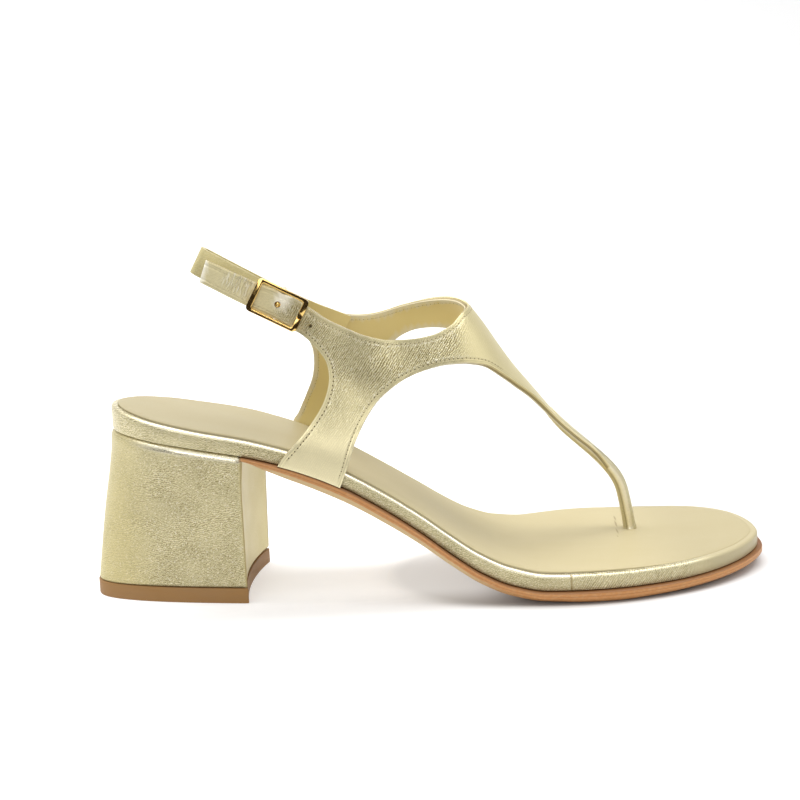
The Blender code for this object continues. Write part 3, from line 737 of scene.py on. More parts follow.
class Graph:
    """Shader nodes of one material, or of the world."""

    def __init__(self, tree: bpy.types.NodeTree) -> None:
        """Take over a node tree."""
        self.tree = tree

    def node(self, kind: str, settings: dict[str, Any] | None = None,
             inputs: dict[str | int, Any] | None = None) -> bpy.types.Node:
        """Add a node.

        Args:
            kind: type of the node.
            settings: its settings; "stops" gives a ramp's places and colours.
            inputs: values or links of its sockets, by name or number.

        Returns:
            The node.
        """
        node = self.tree.nodes.new(kind)
        for name, value in (settings or {}).items():
            if name == "stops":
                ramp = node.color_ramp
                while len(ramp.elements) < len(value):
                    ramp.elements.new(1.0)
                for element, (position, colour) in zip(ramp.elements, value):
                    element.position = position
                    element.color = (*colour, 1.0)
            else:
                setattr(node, name, value)
        for key, value in (inputs or {}).items():
            socket = node.inputs[key]
            if isinstance(value, Value):
                value = value.socket
            if isinstance(value, bpy.types.NodeSocket):
                self.tree.links.new(value, socket)
            elif isinstance(value, tuple) and len(value) == 3 and socket.type == "RGBA":
                socket.default_value = (*value, 1.0)
            else:
                socket.default_value = value
        return node

    def place(self, scale: Row = (1.0, 1.0, 1.0), turn: Row = (0.0, 0.0, 0.0)) -> Socket:
        """Object coordinates in millimetres, turned and then stretched.

        Args:
            scale: stretch of the pattern along each axis.
            turn: rotation in radians.

        Returns:
            Vector socket.
        """
        coordinates = self.node("ShaderNodeTexCoord").outputs["Object"]
        turned = self.node("ShaderNodeMapping", None, {"Vector": coordinates, "Rotation": turn}).outputs[0]
        size = tuple(part / MM for part in scale)
        return self.node("ShaderNodeMapping", None, {"Vector": turned, "Scale": size}).outputs[0]

    def axis(self, vector: Socket, index: int) -> Value:
        """One part of a vector, by its number."""
        return Value(self, self.node("ShaderNodeSeparateXYZ", None, {0: vector}).outputs[index])

    def noise(self, vector: Socket, scale: float, detail: float = 2.0,
              rough: float = 0.5) -> Value:
        """Smooth irregular pattern about 0.5, from its features per unit and its finer layers."""
        inputs = {"Vector": vector, "Scale": scale, "Detail": detail, "Roughness": rough}
        return Value(self, self.node("ShaderNodeTexNoise", None, inputs).outputs["Fac"])

    def lines(self, vector: Socket, period: float, waver: float) -> Value:
        """Fine wavering lines across the third axis, like the lines of a fingertip.

        Args:
            vector: where to read them.
            period: distance from line to line.
            waver: how far they stray, in radians of the wave.

        Returns:
            Value between 0 and 1.
        """
        settings = {"wave_type": "BANDS", "bands_direction": "Z", "wave_profile": "SIN"}
        inputs = {"Vector": vector, "Scale": math.pi / 10.0 / period, "Distortion": waver, "Detail": 2.0,
                  "Detail Scale": 2.8}
        return Value(self, self.node("ShaderNodeTexWave", settings, inputs).outputs["Fac"])

    def warped(self, vector: Socket, scale: float, amount: float) -> Socket:
        """Coordinates pushed about by a smooth pattern.

        Args:
            vector: coordinates.
            scale: number of features of the push per unit.
            amount: size of the push.

        Returns:
            Vector socket.
        """
        inputs = {"Vector": vector, "Scale": scale, "Detail": 1.0}
        push = self.node("ShaderNodeTexNoise", None, inputs).outputs["Color"]
        sized = self.node("ShaderNodeVectorMath", {"operation": "SCALE"}, {0: push, "Scale": amount})
        moved = self.node("ShaderNodeVectorMath", {"operation": "ADD"}, {0: vector, 1: sized.outputs[0]})
        return moved.outputs[0]

    def mark(self, name: str) -> Value:
        """Number stored on the piece."""
        return Value(self, self.node("ShaderNodeAttribute", {"attribute_name": name}).outputs["Fac"])

    def mix(self, share: Value | float, first: Any, second: Any) -> Socket:
        """Colour between two colours or colour sockets: the first at 0 and the second at 1."""
        settings = {"data_type": "RGBA"}
        return self.node("ShaderNodeMix", settings, {0: share, 6: first, 7: second}).outputs[2]

    def bump(self, height: Value, depth: float,
             below: Socket | None = None) -> Socket:
        """Surface relief.

        Args:
            height: relief between 0 and 1.
            depth: its depth in millimetres.
            below: relief that it lies on.

        Returns:
            Normal socket.
        """
        inputs: dict[str | int, Any] = {"Height": height, "Distance": depth * MM, "Strength": 1.0}
        if below is not None:
            inputs["Normal"] = below
        return self.node("ShaderNodeBump", None, inputs).outputs[0]


@dataclass(frozen=True)
class Finish:
    """Finish of one material: its base colour and gloss, before its pattern."""

    name: str
    colour: Colour
    roughness: float
    metallic: float = 0.0
    specular: float = 0.5

    def build(self) -> bpy.types.Material:
        """Make the material.

        Returns:
            Material with its pattern.
        """
        material = bpy.data.materials.new(self.name)
        material.use_nodes = True
        shader = material.node_tree.nodes["Principled BSDF"]
        values = {"Base Color": (*self.colour, 1.0), "Roughness": self.roughness, "Metallic": self.metallic,
                  "Specular IOR Level": self.specular}
        for name, value in values.items():
            shader.inputs[name].default_value = value
        self.pattern(Graph(material.node_tree), shader)
        return material

    def pattern(self, graph: Graph, shader: bpy.types.Node) -> None:
        """Add the pattern of the surface to the material's nodes and its Principled shader."""

    def feed(self, graph: Graph, shader: bpy.types.Node, links: dict[str, Any]) -> None:
        """Link sockets of the shader.

        Args:
            graph: nodes of the material.
            shader: its Principled shader.
            links: values or sockets by socket name.
        """
        for name, source in links.items():
            socket = source.socket if isinstance(source, Value) else source
            graph.tree.links.new(socket, shader.inputs[name])


@dataclass(frozen=True)
class GoldLeather(Finish):
    """Foiled gold leather with a fine grain.

    It reads the marks of its piece: grain, wrinkle, crinkle, edge, run, pleat, plain, pale, lapped,
    shine, seam and tip. Painted highlights come with pale, shine and tip, painted
    shade with the hollows of grain and wrinkles and with seam between the upper's layers. A mark that the
    piece doesn't have counts as 0.
    """

    # Painted shade in the hollows of grain and wrinkles, in the sunk stitch line and along the edge's fold.
    hollow_shade: Colour = (0.22, 0.18, 0.075)
    # Painted glints on grain crowns, crinkle crests and along the stitch line.
    painted_glint: Colour = (0.86, 0.82, 0.66)
    # Painted highlight on glossy rims, the heel's shoulder, the strap's cut tip and the toe post.
    painted_highlight: Colour = (0.95, 0.91, 0.77)
    smooth: Colour = (0.54, 0.465, 0.22)
    # Paler smooth tone; low on the legs and on the toe post's lit ply it stands for painted sheen and
    # highlight.
    pale: Colour = (0.80, 0.72, 0.46)
    sock: Colour = (0.39, 0.335, 0.20)
    # Dark joints of the board's wrap, the heel cover and the toe post's fold, and painted shade in the gap
    # between the upper's layers.
    joint: Colour = (0.27, 0.195, 0.072)
    fine_scale: float = 1.7
    patch_scale: float = 0.09
    grain_period: float = 0.56
    grain_waver: float = 7.5
    grain_turn: float = math.radians(14.0)
    grain_depth: float = 0.065
    wrinkle_period: float = 0.66
    wrinkle_waver: float = 4.6
    wrinkle_turn: float = math.radians(54.0)
    wrinkle_depth: float = 0.085
    strap_turn: float = math.radians(-28.5)
    crinkle_depth: float = 0.3
    pleat_scale: float = 0.62
    pleat_depth: float = 0.2
    groove_depth: float = 0.05
    joint_run: Span = (172.0, 0.5)
    # Middle and reach from a cut edge: sunk stitch line with painted shade, painted shade line outside it,
    # painted glints inside it
    groove: Span = (1.55, 0.6)
    edge_line: Span = (0.75, 0.3)
    glint_line: Span = (2.2, 0.6)

    def pattern(self, graph: Graph, shader: bpy.types.Node) -> None:
        """Grain, drawn-out wrinkles, crinkles, pleats, joints and a sunk stitch line, with painted shade in
        their hollows and painted glints and highlights on top.

        Args:
            graph: nodes of the material.
            shader: its Principled shader.
        """
        names = ("grain", "wrinkle", "crinkle", "run", "pleat", "edge", "plain", "shine", "tip", "lapped")
        strength, wrinkle, crinkle, run, pleat, edge, plain, shine, tip, lapped = map(graph.mark, names)
        place = graph.warped(graph.place((0.9, 0.9, 1.0), (0.0, self.grain_turn, 0.0)), 0.05, 8.0)
        grain = graph.lines(place, self.grain_period, self.grain_waver).rise(0.2, 0.7)
        fine = graph.noise(graph.place(), self.fine_scale, 2.0, 0.6)
        drawn = graph.warped(graph.place((0.45, 0.6, 1.0), (0.0, self.wrinkle_turn, 0.0)), 0.07, 3.5)
        wrinkles = graph.lines(drawn, self.wrinkle_period, self.wrinkle_waver).rise(0.2, 0.75)
        patch = graph.noise(graph.place(), self.patch_scale, 2.0).rise(0.35, 0.65)
        bands = graph.warped(graph.place((1.15, 0.25, 0.12), (0.0, self.strap_turn, 0.0)), 0.5, 0.5)
        folds = 1.0 - abs(graph.noise(bands, 1.0, 2.0) - 0.5).rise(0.0, 0.1)
        height = graph.axis(graph.place(), 2)
        round_edge = graph.node("ShaderNodeCombineXYZ", None, {0: run * self.pleat_scale, 1: height * 0.12})
        pleats = graph.noise(round_edge.outputs[0], 1.0, 2.0, 0.6).rise(0.3, 0.7)
        wrap_joint = run.ridge(*self.joint_run) * pleat.rise(0.0, 0.05)
        # Dark joints, and painted shade in the gap between the upper's layers.
        joint = wrap_joint.most(graph.mark("seam").rise(0.4, 0.8))
        groove = edge.ridge(*self.groove)
        strength = strength * (1.0 - 0.8 * shine) * (0.75 + 0.25 * patch)
        wrinkle = wrinkle * (0.7 + 0.3 * patch)
        normal = graph.bump(1.0 - groove, self.groove_depth)
        normal = graph.bump(wrinkles * wrinkle, self.wrinkle_depth, normal)
        normal = graph.bump(folds * crinkle, self.crinkle_depth, normal)
        normal = graph.bump(pleats * pleat - joint, self.pleat_depth, normal)
        normal = graph.bump(grain * strength * 0.7 + fine * (0.1 + 0.5 * strength), self.grain_depth, normal)
        # Painted shade in the hollows of the grain lines and the wrinkles.
        hollow = ((1.0 - grain) * strength * (1.0 - wrinkle) * 0.95).most((1.0 - wrinkles) * wrinkle)
        tint = graph.mix(plain, self.colour, self.smooth)
        # Paler tone, and painted sheen and highlight where the pale mark stands for them.
        tint = graph.mix(graph.mark("pale"), tint, self.pale)
        tint = graph.mix(hollow, tint, self.hollow_shade)
        # Painted glints on the crowns of the grain and wrinkles.
        tint = graph.mix(fine.rise(0.52, 0.72) * 0.5 * strength.most(wrinkle), tint, self.painted_glint)
        # Painted shade in the sunk stitch line, and a painted shade line along the edge's fold.
        tint = graph.mix(groove * 0.12 + edge.ridge(*self.edge_line) * 0.3, tint, self.hollow_shade)
        # Painted glints along the stitch line.
        tint = graph.mix(edge.ridge(*self.glint_line) * fine.rise(0.45, 0.6) * 0.6 * wrinkle, tint, self.painted_glint)
        # Painted glints on the crests of the crinkles.
        tint = graph.mix(folds.rise(0.4, 0.9) * 0.75 * crinkle, tint, self.painted_glint)
        # Painted highlight where the shine and tip marks call for it.
        tint = graph.mix((shine * 0.5).most(tip), tint, self.painted_highlight)
        tint = graph.mix(lapped, tint, self.sock)
        tint = graph.mix(joint * 0.7, tint, self.joint)
        gloss = self.roughness + (fine - 0.5) * 0.14 * strength + patch * 0.05 + plain * 0.08 - shine * 0.17
        metal = (self.metallic - plain * 0.4) * (1.0 - lapped)
        links = {"Base Color": tint, "Roughness": gloss, "Metallic": metal, "Normal": normal}
        self.feed(graph, shader, links)


@dataclass(frozen=True)
class SmoothLeather(Finish):
    """Smooth lining or sock leather with a soft sheen; reads the marks tanned, rim, seam and slit, and
    darkens with painted shade at the marks tanned and seam.
    """

    mottle: Colour = (0.62, 0.53, 0.30)
    cut_edge: Colour = (0.60, 0.53, 0.34)
    dark: Colour = (0.16, 0.11, 0.045)
    # Painted shade colour.
    tanned: Colour = (0.345, 0.297, 0.18)
    pore_depth: float = 0.03
    ripple_depth: float = 0.12

    def pattern(self, graph: Graph, shader: bpy.types.Node) -> None:
        """Faint clouding, fine pores and slow ripples.

        Args:
            graph: nodes of the material.
            shader: its Principled shader.
        """
        place = graph.place()
        cloud = graph.noise(graph.place((0.02, 0.05, 0.05)), 1.0, 3.0, 0.55)
        pores = graph.noise(place, 2.2, 2.0, 0.6)
        ripple = graph.noise(graph.place((0.09, 0.02, 0.09)), 1.0, 1.0)
        normal = graph.bump(ripple, self.ripple_depth)
        normal = graph.bump(pores, self.pore_depth, normal)
        tint = graph.mix(cloud.rise(0.4, 0.72) * 0.35, self.colour, self.mottle)
        # Painted shade towards the sock's heel and toe.
        tint = graph.mix(graph.mark("tanned"), tint, self.tanned)
        tint = graph.mix(graph.mark("rim"), tint, self.cut_edge)
        slit = graph.mark("slit").rise(0.72, 0.92)
        # Painted shade at the gap to the leather, and the dark line of the slit.
        tint = graph.mix((graph.mark("seam").rise(0.4, 0.8) * 0.85).most(slit * 0.6), tint, self.dark)
        gloss = self.roughness + (cloud - 0.5) * 0.16 + (pores - 0.5) * 0.1
        self.feed(graph, shader, {"Base Color": tint, "Roughness": gloss, "Normal": normal})


@dataclass(frozen=True)
class StackedEdge(Finish):
    """Waxed leather sole edge with fine layers; reads the marks layer and waist of its piece."""

    line: Colour = (0.16, 0.068, 0.024)
    pale: Colour = (0.55, 0.41, 0.22)

    def pattern(self, graph: Graph, shader: bpy.types.Node) -> None:
        """Thin lines along the edge, a dark seam at the top and a paler bevel under the waist.

        Args:
            graph: nodes of the material.
            shader: its Principled shader.
        """
        layer, waist = graph.mark("layer"), graph.mark("waist")
        drift = layer + (graph.noise(graph.place((0.03, 0.03, 0.3)), 1.0, 2.0) - 0.5) * 0.08
        fibre = graph.noise(graph.place((0.9, 0.9, 1.3)), 1.0, 3.0, 0.6)
        lines = drift.ridge(0.66, 0.06).most(drift.ridge(0.4, 0.05) * 0.6)
        tint = graph.mix(fibre.rise(0.4, 0.7) * 0.22, self.colour, self.pale)
        tint = graph.mix(lines * 0.35, tint, self.line)
        tint = graph.mix((1.0 - drift.rise(0.42, 0.52)) * waist * 0.9, tint, self.pale)
        tint = graph.mix(layer.rise(0.84, 0.98) * 0.8, tint, self.line)
        normal = graph.bump(fibre * 0.5 - lines, 0.05)
        gloss = self.roughness + (fibre - 0.5) * 0.2
        self.feed(graph, shader, {"Base Color": tint, "Roughness": gloss, "Normal": normal})


@dataclass(frozen=True)
class MouldedRubber(Finish):
    """Moulded top lift with faint cloudiness."""

    cloudy: Colour = (0.25, 0.14, 0.055)

    def pattern(self, graph: Graph, shader: bpy.types.Node) -> None:
        """Cloudy colour and a fine skin.

        Args:
            graph: nodes of the material.
            shader: its Principled shader.
        """
        cloud = graph.noise(graph.place((0.08, 0.08, 0.3)), 1.0, 3.0, 0.6)
        skin = graph.noise(graph.place(), 1.6, 2.0)
        tint = graph.mix(cloud.rise(0.35, 0.7) * 0.6, self.colour, self.cloudy)
        gloss = self.roughness + (cloud - 0.5) * 0.2
        self.feed(graph, shader, {"Base Color": tint, "Roughness": gloss, "Normal": graph.bump(skin, 0.03)})


@dataclass(frozen=True)
class PolishedMetal(Finish):
    """Polished gold-coloured metal with faint handling marks."""

    def pattern(self, graph: Graph, shader: bpy.types.Node) -> None:
        """Slight change of gloss."""
        smear = graph.noise(graph.place(), 0.5, 3.0, 0.6)
        self.feed(graph, shader, {"Roughness": self.roughness + smear.rise(0.4, 0.8) * 0.1})


@dataclass(frozen=True)
class TwistedThread(Finish):
    """Sewing thread with a visible twist."""

    def pattern(self, graph: Graph, shader: bpy.types.Node) -> None:
        """Fine uneven plies.

        Args:
            graph: nodes of the material.
            shader: its Principled shader.
        """
        plies = graph.noise(graph.place(), 5.0, 1.0)
        tint = graph.mix(plies.rise(0.35, 0.65) * 0.4, self.colour, tuple(part * 0.6 for part in self.colour))
        self.feed(graph, shader, {"Base Color": tint, "Normal": graph.bump(plies, 0.08)})


@dataclass(frozen=True)
class LitPaper(Finish):
    """White paper, lit from below beside the heel so that the shoe's shadow shows at the forefoot only."""

    glow: float = 0.45
    shade_from: Span = (12.0, 40.0)
    glow_from: Span = (-42.0, -18.0)
    shadow: Colour = (0.38, 0.365, 0.345)
    forefoot: Span = (46.0, -3.0)
    forefoot_reach: Span = (60.0, 40.0)
    shadow_reach: Span = (0.94, 1.22)

    def pattern(self, graph: Graph, shader: bpy.types.Node) -> None:
        """Glow beside the heel, and a deeper shadow close round the forefoot.

        Args:
            graph: nodes of the material.
            shader: its Principled shader.
        """
        along, across = graph.axis(graph.place(), 0), graph.axis(graph.place(), 1)
        lit = (1.0 - along.rise(*self.shade_from)) * across.rise(*self.glow_from)
        ahead = (along - self.forefoot[0]) / self.forefoot_reach[0]
        aside = (across - self.forefoot[1]) / self.forefoot_reach[1]
        under = 1.0 - ((ahead * ahead + aside * aside) ** 0.5).rise(*self.shadow_reach)
        glow = graph.mix(lit, (0.0, 0.0, 0.0), (1.0, 1.0, 1.0))
        tint = graph.mix(under * under, self.colour, self.shadow)
        self.feed(graph, shader, {"Base Color": tint, "Emission Color": glow})
        shader.inputs["Emission Strength"].default_value = self.glow


FLOOR = LitPaper("studio_floor", (0.68, 0.68, 0.68), 0.85, specular=0.1)
GOLD = GoldLeather("gold_leather", (0.58, 0.52, 0.315), 0.33, 0.8)
SOCK = SmoothLeather("sock_leather", (0.44, 0.379, 0.225), 0.45, specular=0.12, mottle=(0.41, 0.349, 0.2))
LINING = SmoothLeather("lining_leather", (0.61, 0.49, 0.20), 0.5, 0.1, mottle=(0.54, 0.425, 0.17))
SOLE_EDGE = StackedEdge("sole_leather", (0.46, 0.205, 0.066), 0.45, specular=0.35)
LIFT = MouldedRubber("lift_rubber", (0.255, 0.134, 0.042), 0.55, specular=0.3)
METAL = PolishedMetal("buckle_metal", (0.86, 0.58, 0.20), 0.09, 1.0)
THREAD = TwistedThread("thread", (0.54, 0.47, 0.27), 0.5)
# Painted shade: dark beads in the needle holes and the strap hole.
HOLE_SHADE = Finish("needle_hole_shade", (0.075, 0.055, 0.024), 0.9, specular=0.1)


@dataclass
class Wardrobe:
    """Materials of the shoe, made once."""

    gold: bpy.types.Material = field(default_factory=GOLD.build)
    sock: bpy.types.Material = field(default_factory=SOCK.build)
    lining: bpy.types.Material = field(default_factory=LINING.build)
    sole: bpy.types.Material = field(default_factory=SOLE_EDGE.build)
    lift: bpy.types.Material = field(default_factory=LIFT.build)
    metal: bpy.types.Material = field(default_factory=METAL.build)
    thread: bpy.types.Material = field(default_factory=THREAD.build)
    hole_shade: bpy.types.Material = field(default_factory=HOLE_SHADE.build)


@dataclass
class Seam:
    """Row of stitches sewn through leather, with dark beads of painted shade in the needle holes between
    them.
    """

    pitch: float = 1.55
    length: float = 0.95
    width: float = 0.36
    height: float = 0.2
    hole_size: Row = (1.0, 0.85, 0.35)

    def bead(self, name: str, size: Row) -> bpy.types.Mesh:
        """Small rounded form about zero.

        Args:
            name: name of the mesh.
            size: length, width and height.

        Returns:
            Mesh of a few dozen faces.
        """
        bpy.ops.mesh.primitive_uv_sphere_add(segments=8, ring_count=6, radius=0.5)
        item = bpy.context.view_layer.objects.active
        item.name = name
        with Bench.editing(item):
            bpy.ops.transform.resize(value=size)
        mesh = item.data
        bpy.data.objects.remove(item)
        return mesh

    def sew(self, name: str, rows: Sequence[tuple[Sequence[tuple[Vector, Vector]], float]],
            eyes: Sequence[tuple[Vector, Vector, float]]) -> Piece:
        """Lay stitches along rows of surface points.

        Args:
            name: name of the object.
            rows: points and outward normals along each row, in millimetres, and the size of the painted shade
                beads in its holes.
            eyes: point, outward normal and size of single dark beads of painted shade in strap holes.

        Returns:
            One object with every stitch and every dark bead of painted hole shade.
        """
        stitch = self.bead("stitch", (self.length, self.width, self.height))
        hole_shade = self.bead("needle_hole_shade", self.hole_size)
        form = bmesh.new()
        for row, size in rows:
            points = [(*point, *normal) for point, normal in row]
            count = max(round(run_lengths(points)[-1] / self.pitch), 2)
            spots = evenly(points, 2 * count + 1)
            for index in range(1, len(spots) - 1):
                before, here, after = (Vector(spots[index + shift][:3]) for shift in (-1, 0, 1))
                seat = (here, Vector(spots[index][3:]), after - before)
                if index % 2:
                    self.lay(form, stitch, seat, 1.0, 0)
                elif size > 0.0:
                    self.lay(form, hole_shade, seat, size, 1)
        for spot, normal, size in eyes:
            self.lay(form, hole_shade, (spot, normal, ALONG), size, 1)
        item = Bench.from_form(name, form)
        bpy.data.meshes.remove(stitch)
        bpy.data.meshes.remove(hole_shade)
        return item

    @staticmethod
    def lay(form: bmesh.types.BMesh, source: bpy.types.Mesh, seat: tuple[Vector, Vector, Vector], size: float,
            finish: int) -> None:
        """Lay one bead on the surface.

        Args:
            form: mesh that takes the bead.
            source: mesh of the bead.
            seat: its point, outward normal and direction.
            size: its scale.
            finish: number of its material.
        """
        spot, normal, along = seat[0], seat[1].normalized(), seat[2].normalized()
        across = normal.cross(along).normalized()
        turn = Matrix((across.cross(normal), across, normal)).transposed().to_4x4()
        first, start = len(form.verts), len(form.faces)
        form.from_mesh(source)
        form.verts.ensure_lookup_table()
        form.faces.ensure_lookup_table()
        matrix = Matrix.Translation(spot) @ turn @ Matrix.Scale(size, 4)
        bmesh.ops.transform(form, matrix=matrix, verts=form.verts[first:])
        for face in form.faces[start:]:
            face.material_index = finish


@dataclass
class SoleUnit:
    """Outsole, wrapped board and sock."""

    last: Last
    wardrobe: Wardrobe
    # Cuts where the sole bends, and further ones of the sock: first, last, distance between
    bends: Rows = ((1.5, 48.0, 3.0), (50.0, 152.0, 1.5), (155.0, 231.5, 4.0))
    sock_bends: Rows = ((176.0, 200.0, 1.0),)
    sock_lanes: Rows = ((-36.0, 42.0, 3.0), (1.0, 30.0, 1.0))
    outsole_blank: float = 4.0
    outsole_margin: float = 1.8
    outsole_round: float = 0.5
    outsole_cuts: Row = (-1.0, -0.4, 0.3)
    # Bevel under the outsole's edge: station, width, share of the thickness
    bevel_rows: Rows = (
        (45.0, 0.6, 0.4), (60.0, 0.9, 0.45), (120.0, 1.1, 0.45), (140.0, 1.6, 0.42), (160.0, 1.9, 0.36),
        (200.0, 1.9, 0.36), (232.0, 1.7, 0.36),
    )
    bevel_reach: Span = (1.2, 3.0)
    board_blank: float = 6.0
    rim_round: float = 1.3
    rim_foot_round: float = 0.4
    rim_points: int = 6000
    sock_inset: float = 2.4
    sock_thickness: float = 0.6
    sock_front: Span = (172.0, 196.0)
    breast_station: float = 49.2
    breast_skew: float = 0.1
    breast_hollow: float = 3.2
    breast_half_width: float = 25.0
    breast_points: int = 15
    post: Span = (187.4, 13.1)
    dimple_depth: float = 0.1
    dimple_reach: float = 5.0
    # Slit of the sock beside the post: station, side
    slit: Rows = ((184.4, 28.5), (183.2, 19.0), (182.4, 12.0), (181.2, 2.0))
    slit_reach: float = 2.0
    # Stations between which a mark of the finishes comes or goes
    back_end: Span = (8.0, 24.0)
    shade_heel_end: Span = (40.0, 100.0)
    waist_start: Span = (50.0, 60.0)
    pale_end: Span = (60.0, 110.0)
    waist_end: Span = (116.0, 146.0)
    pleats_start: Span = (152.0, 166.0)
    shade_toe_start: Span = (180.0, 210.0)
    toe_start: Span = (196.0, 214.0)
    # Shares of the board's thickness between which its rim turns glossy with a painted highlight
    rim_start: Span = (0.8, 0.93)

    def breast(self, side: float) -> float:
        """Station of the heel's hollow front face."""
        hollow = self.breast_hollow * (1.0 - (side / self.breast_half_width) ** 2)
        return self.breast_station + self.breast_skew * side - hollow

    def run_marks(self, item: Piece) -> list[float]:
        """Distance round the board's edge for each vertex.

        Args:
            item: mesh object in millimetres.

        Returns:
            Distances in vertex order.
        """
        fine = evenly(list(self.last.rim) + [self.last.rim[0]], self.rim_points)
        step = run_lengths(fine)[-1] / (len(fine) - 1)
        tree = tree_of(fine)
        return [step * tree.find((vertex.co.x, vertex.co.y, 0.0))[1] for vertex in item.data.vertices]

    def build_outsole(self) -> Piece:
        """Leather outsole with a rounded edge and a bevel under the waist.

        Returns:
            The finished piece.
        """
        edge = grow(self.last.rim, self.outsole_margin)
        ahead = [point for point in edge if point[0] > self.breast(point[1]) + self.last.gap]
        first, final = ahead[-1][1], ahead[0][1]
        rear = spaced(first, final, (final - first) / self.breast_points)
        outline = ahead + [(self.breast(side) + self.last.gap, side) for side in rear]
        item = Bench.blank("sole_leather", outline, self.outsole_blank)
        Bench.round_edges(item, lambda e: top_corner(e) or bottom_corner(e), self.outsole_round, 3)
        Bench.slice(item, UP, self.outsole_cuts)
        Bench.slice(item, ALONG, all_spaced(self.bends))
        self.ease_bottom(item, edge)
        rows = []
        for vertex in item.data.vertices:
            station, layer = vertex.co.x, vertex.co.z / self.outsole_blank + 0.5
            top = self.last.feather(station) - self.last.gap
            vertex.co.z = top - self.last.outsole(station) * (1.0 - layer)
            waist = soft_step(station, *self.waist_start) * (1.0 - soft_step(station, *self.waist_end))
            rows.append({"layer": layer, "waist": waist})
        Bench.mark(item, rows)
        Bench.to_model(item)
        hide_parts("outsole")
        Bench.dress(item, [self.wardrobe.sole], Slot.SOLE, 50.0)
        return item

    def ease_bottom(self, item: Piece, edge: Rows) -> None:
        """Draw the lower part of the outsole's edge inwards as a bevel.

        Args:
            item: flat outsole in millimetres.
            edge: its full outline in plan.
        """
        width, share = Profile(self.bevel_rows, 1), Profile(self.bevel_rows, 2)
        inner = grow(edge, -1.0)
        tree = tree_of(edge)
        for vertex in item.data.vertices:
            station, side, level = vertex.co
            _, index, reach = tree.find((station, side, 0.0))
            under = 1.0 - min((level / self.outsole_blank + 0.5) / share(station), 1.0)
            near = 1.0 - soft_step(reach, *self.bevel_reach)
            inward = Vector(inner[index]) - Vector(edge[index])
            vertex.co.xy = Vector((station, side)) + inward * width(station) * under * near

    def build_board(self) -> Piece:
        """Board wrapped in gold leather with a round rim.

        Returns:
            The finished piece.
        """
        item = Bench.blank("wrapped_board", self.last.rim, self.board_blank)
        Bench.round_edges(item, top_corner, self.rim_round, 8)
        Bench.round_edges(item, bottom_corner, self.rim_foot_round, 2)
        Bench.slice(item, ALONG, all_spaced(self.bends))
        rows = []
        for vertex, run in zip(item.data.vertices, self.run_marks(item)):
            station, share = vertex.co.x, vertex.co.z / self.board_blank + 0.5
            vertex.co.z = self.last.feather(station) + self.last.board(station) * share
            toe = soft_step(station, *self.toe_start)
            gathered = soft_step(station, *self.pleats_start) * (1.0 - toe)
            back = 1.0 - soft_step(station, *self.back_end)
            rim = soft_step(share, *self.rim_start)
            rows.append({
                "run": run,
                "grain": 0.9 * (1.0 - 0.85 * toe),
                "wrinkle": 0.75 * gathered,
                "plain": toe,
                "pale": max(0.4 * gathered, 0.35 * (1.0 - soft_step(station, *self.pale_end))),
                "lapped": 0.9 * toe,
                "pleat": gathered,
                # Glossier rim top with a painted highlight.
                "shine": rim * (1.0 - toe) * (1.0 - 0.75 * gathered) * (1.0 - 0.85 * back),
            })
        Bench.mark(item, rows)
        Bench.to_model(item)
        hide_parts("insole_board")
        Bench.dress(item, [self.wardrobe.gold], Slot.GOLD, 60.0)
        return item

    def build_sock(self) -> Piece:
        """Insole sock, flush with the rim at the front and pulled down round the toe post.

        Returns:
            The finished piece.
        """
        item = Bench.blank("insole_sock", grow(self.last.rim, -self.sock_inset), self.sock_thickness)
        Bench.round_edges(item, top_corner, self.sock_thickness * 0.6, 2)
        Bench.slice(item, ALONG, all_spaced((*self.bends, *self.sock_bends)))
        Bench.slice(item, ACROSS, all_spaced(self.sock_lanes))
        path = evenly(smooth_run(self.slit, 6), 90)
        rows = []
        for vertex in item.data.vertices:
            station, side, level = vertex.co
            near = min(math.dist((station, side), point) for point in path)
            # Painted shade towards the heel and the toe of the sock.
            heel, toe = soft_step(station, *self.shade_heel_end), soft_step(station, *self.shade_toe_start)
            rows.append({
                "slit": max(1.0 - near / self.slit_reach, 0.0),
                "tanned": max(1.0 - heel, 0.65 * toe),
            })
            seat = self.last.feather(station) + self.last.board(station)
            sunk = self.sock_thickness * 0.85 * soft_step(station, *self.sock_front)
            reach = math.hypot(station - self.post[0], side - self.post[1])
            dimple = self.dimple_depth * math.exp(-(reach / self.dimple_reach) ** 2)
            vertex.co.z = seat + self.last.gap * 0.3 + self.sock_thickness / 2 + level - sunk - dimple
        Bench.mark(item, rows)
        Bench.to_model(item)
        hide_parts("insole")
        Bench.dress(item, [self.wardrobe.sock], Slot.SOCK, 40.0)
        return item

    def build(self) -> list[Piece]:
        """Every piece of the sole."""
        return [self.build_outsole(), self.build_board(), self.build_sock()]


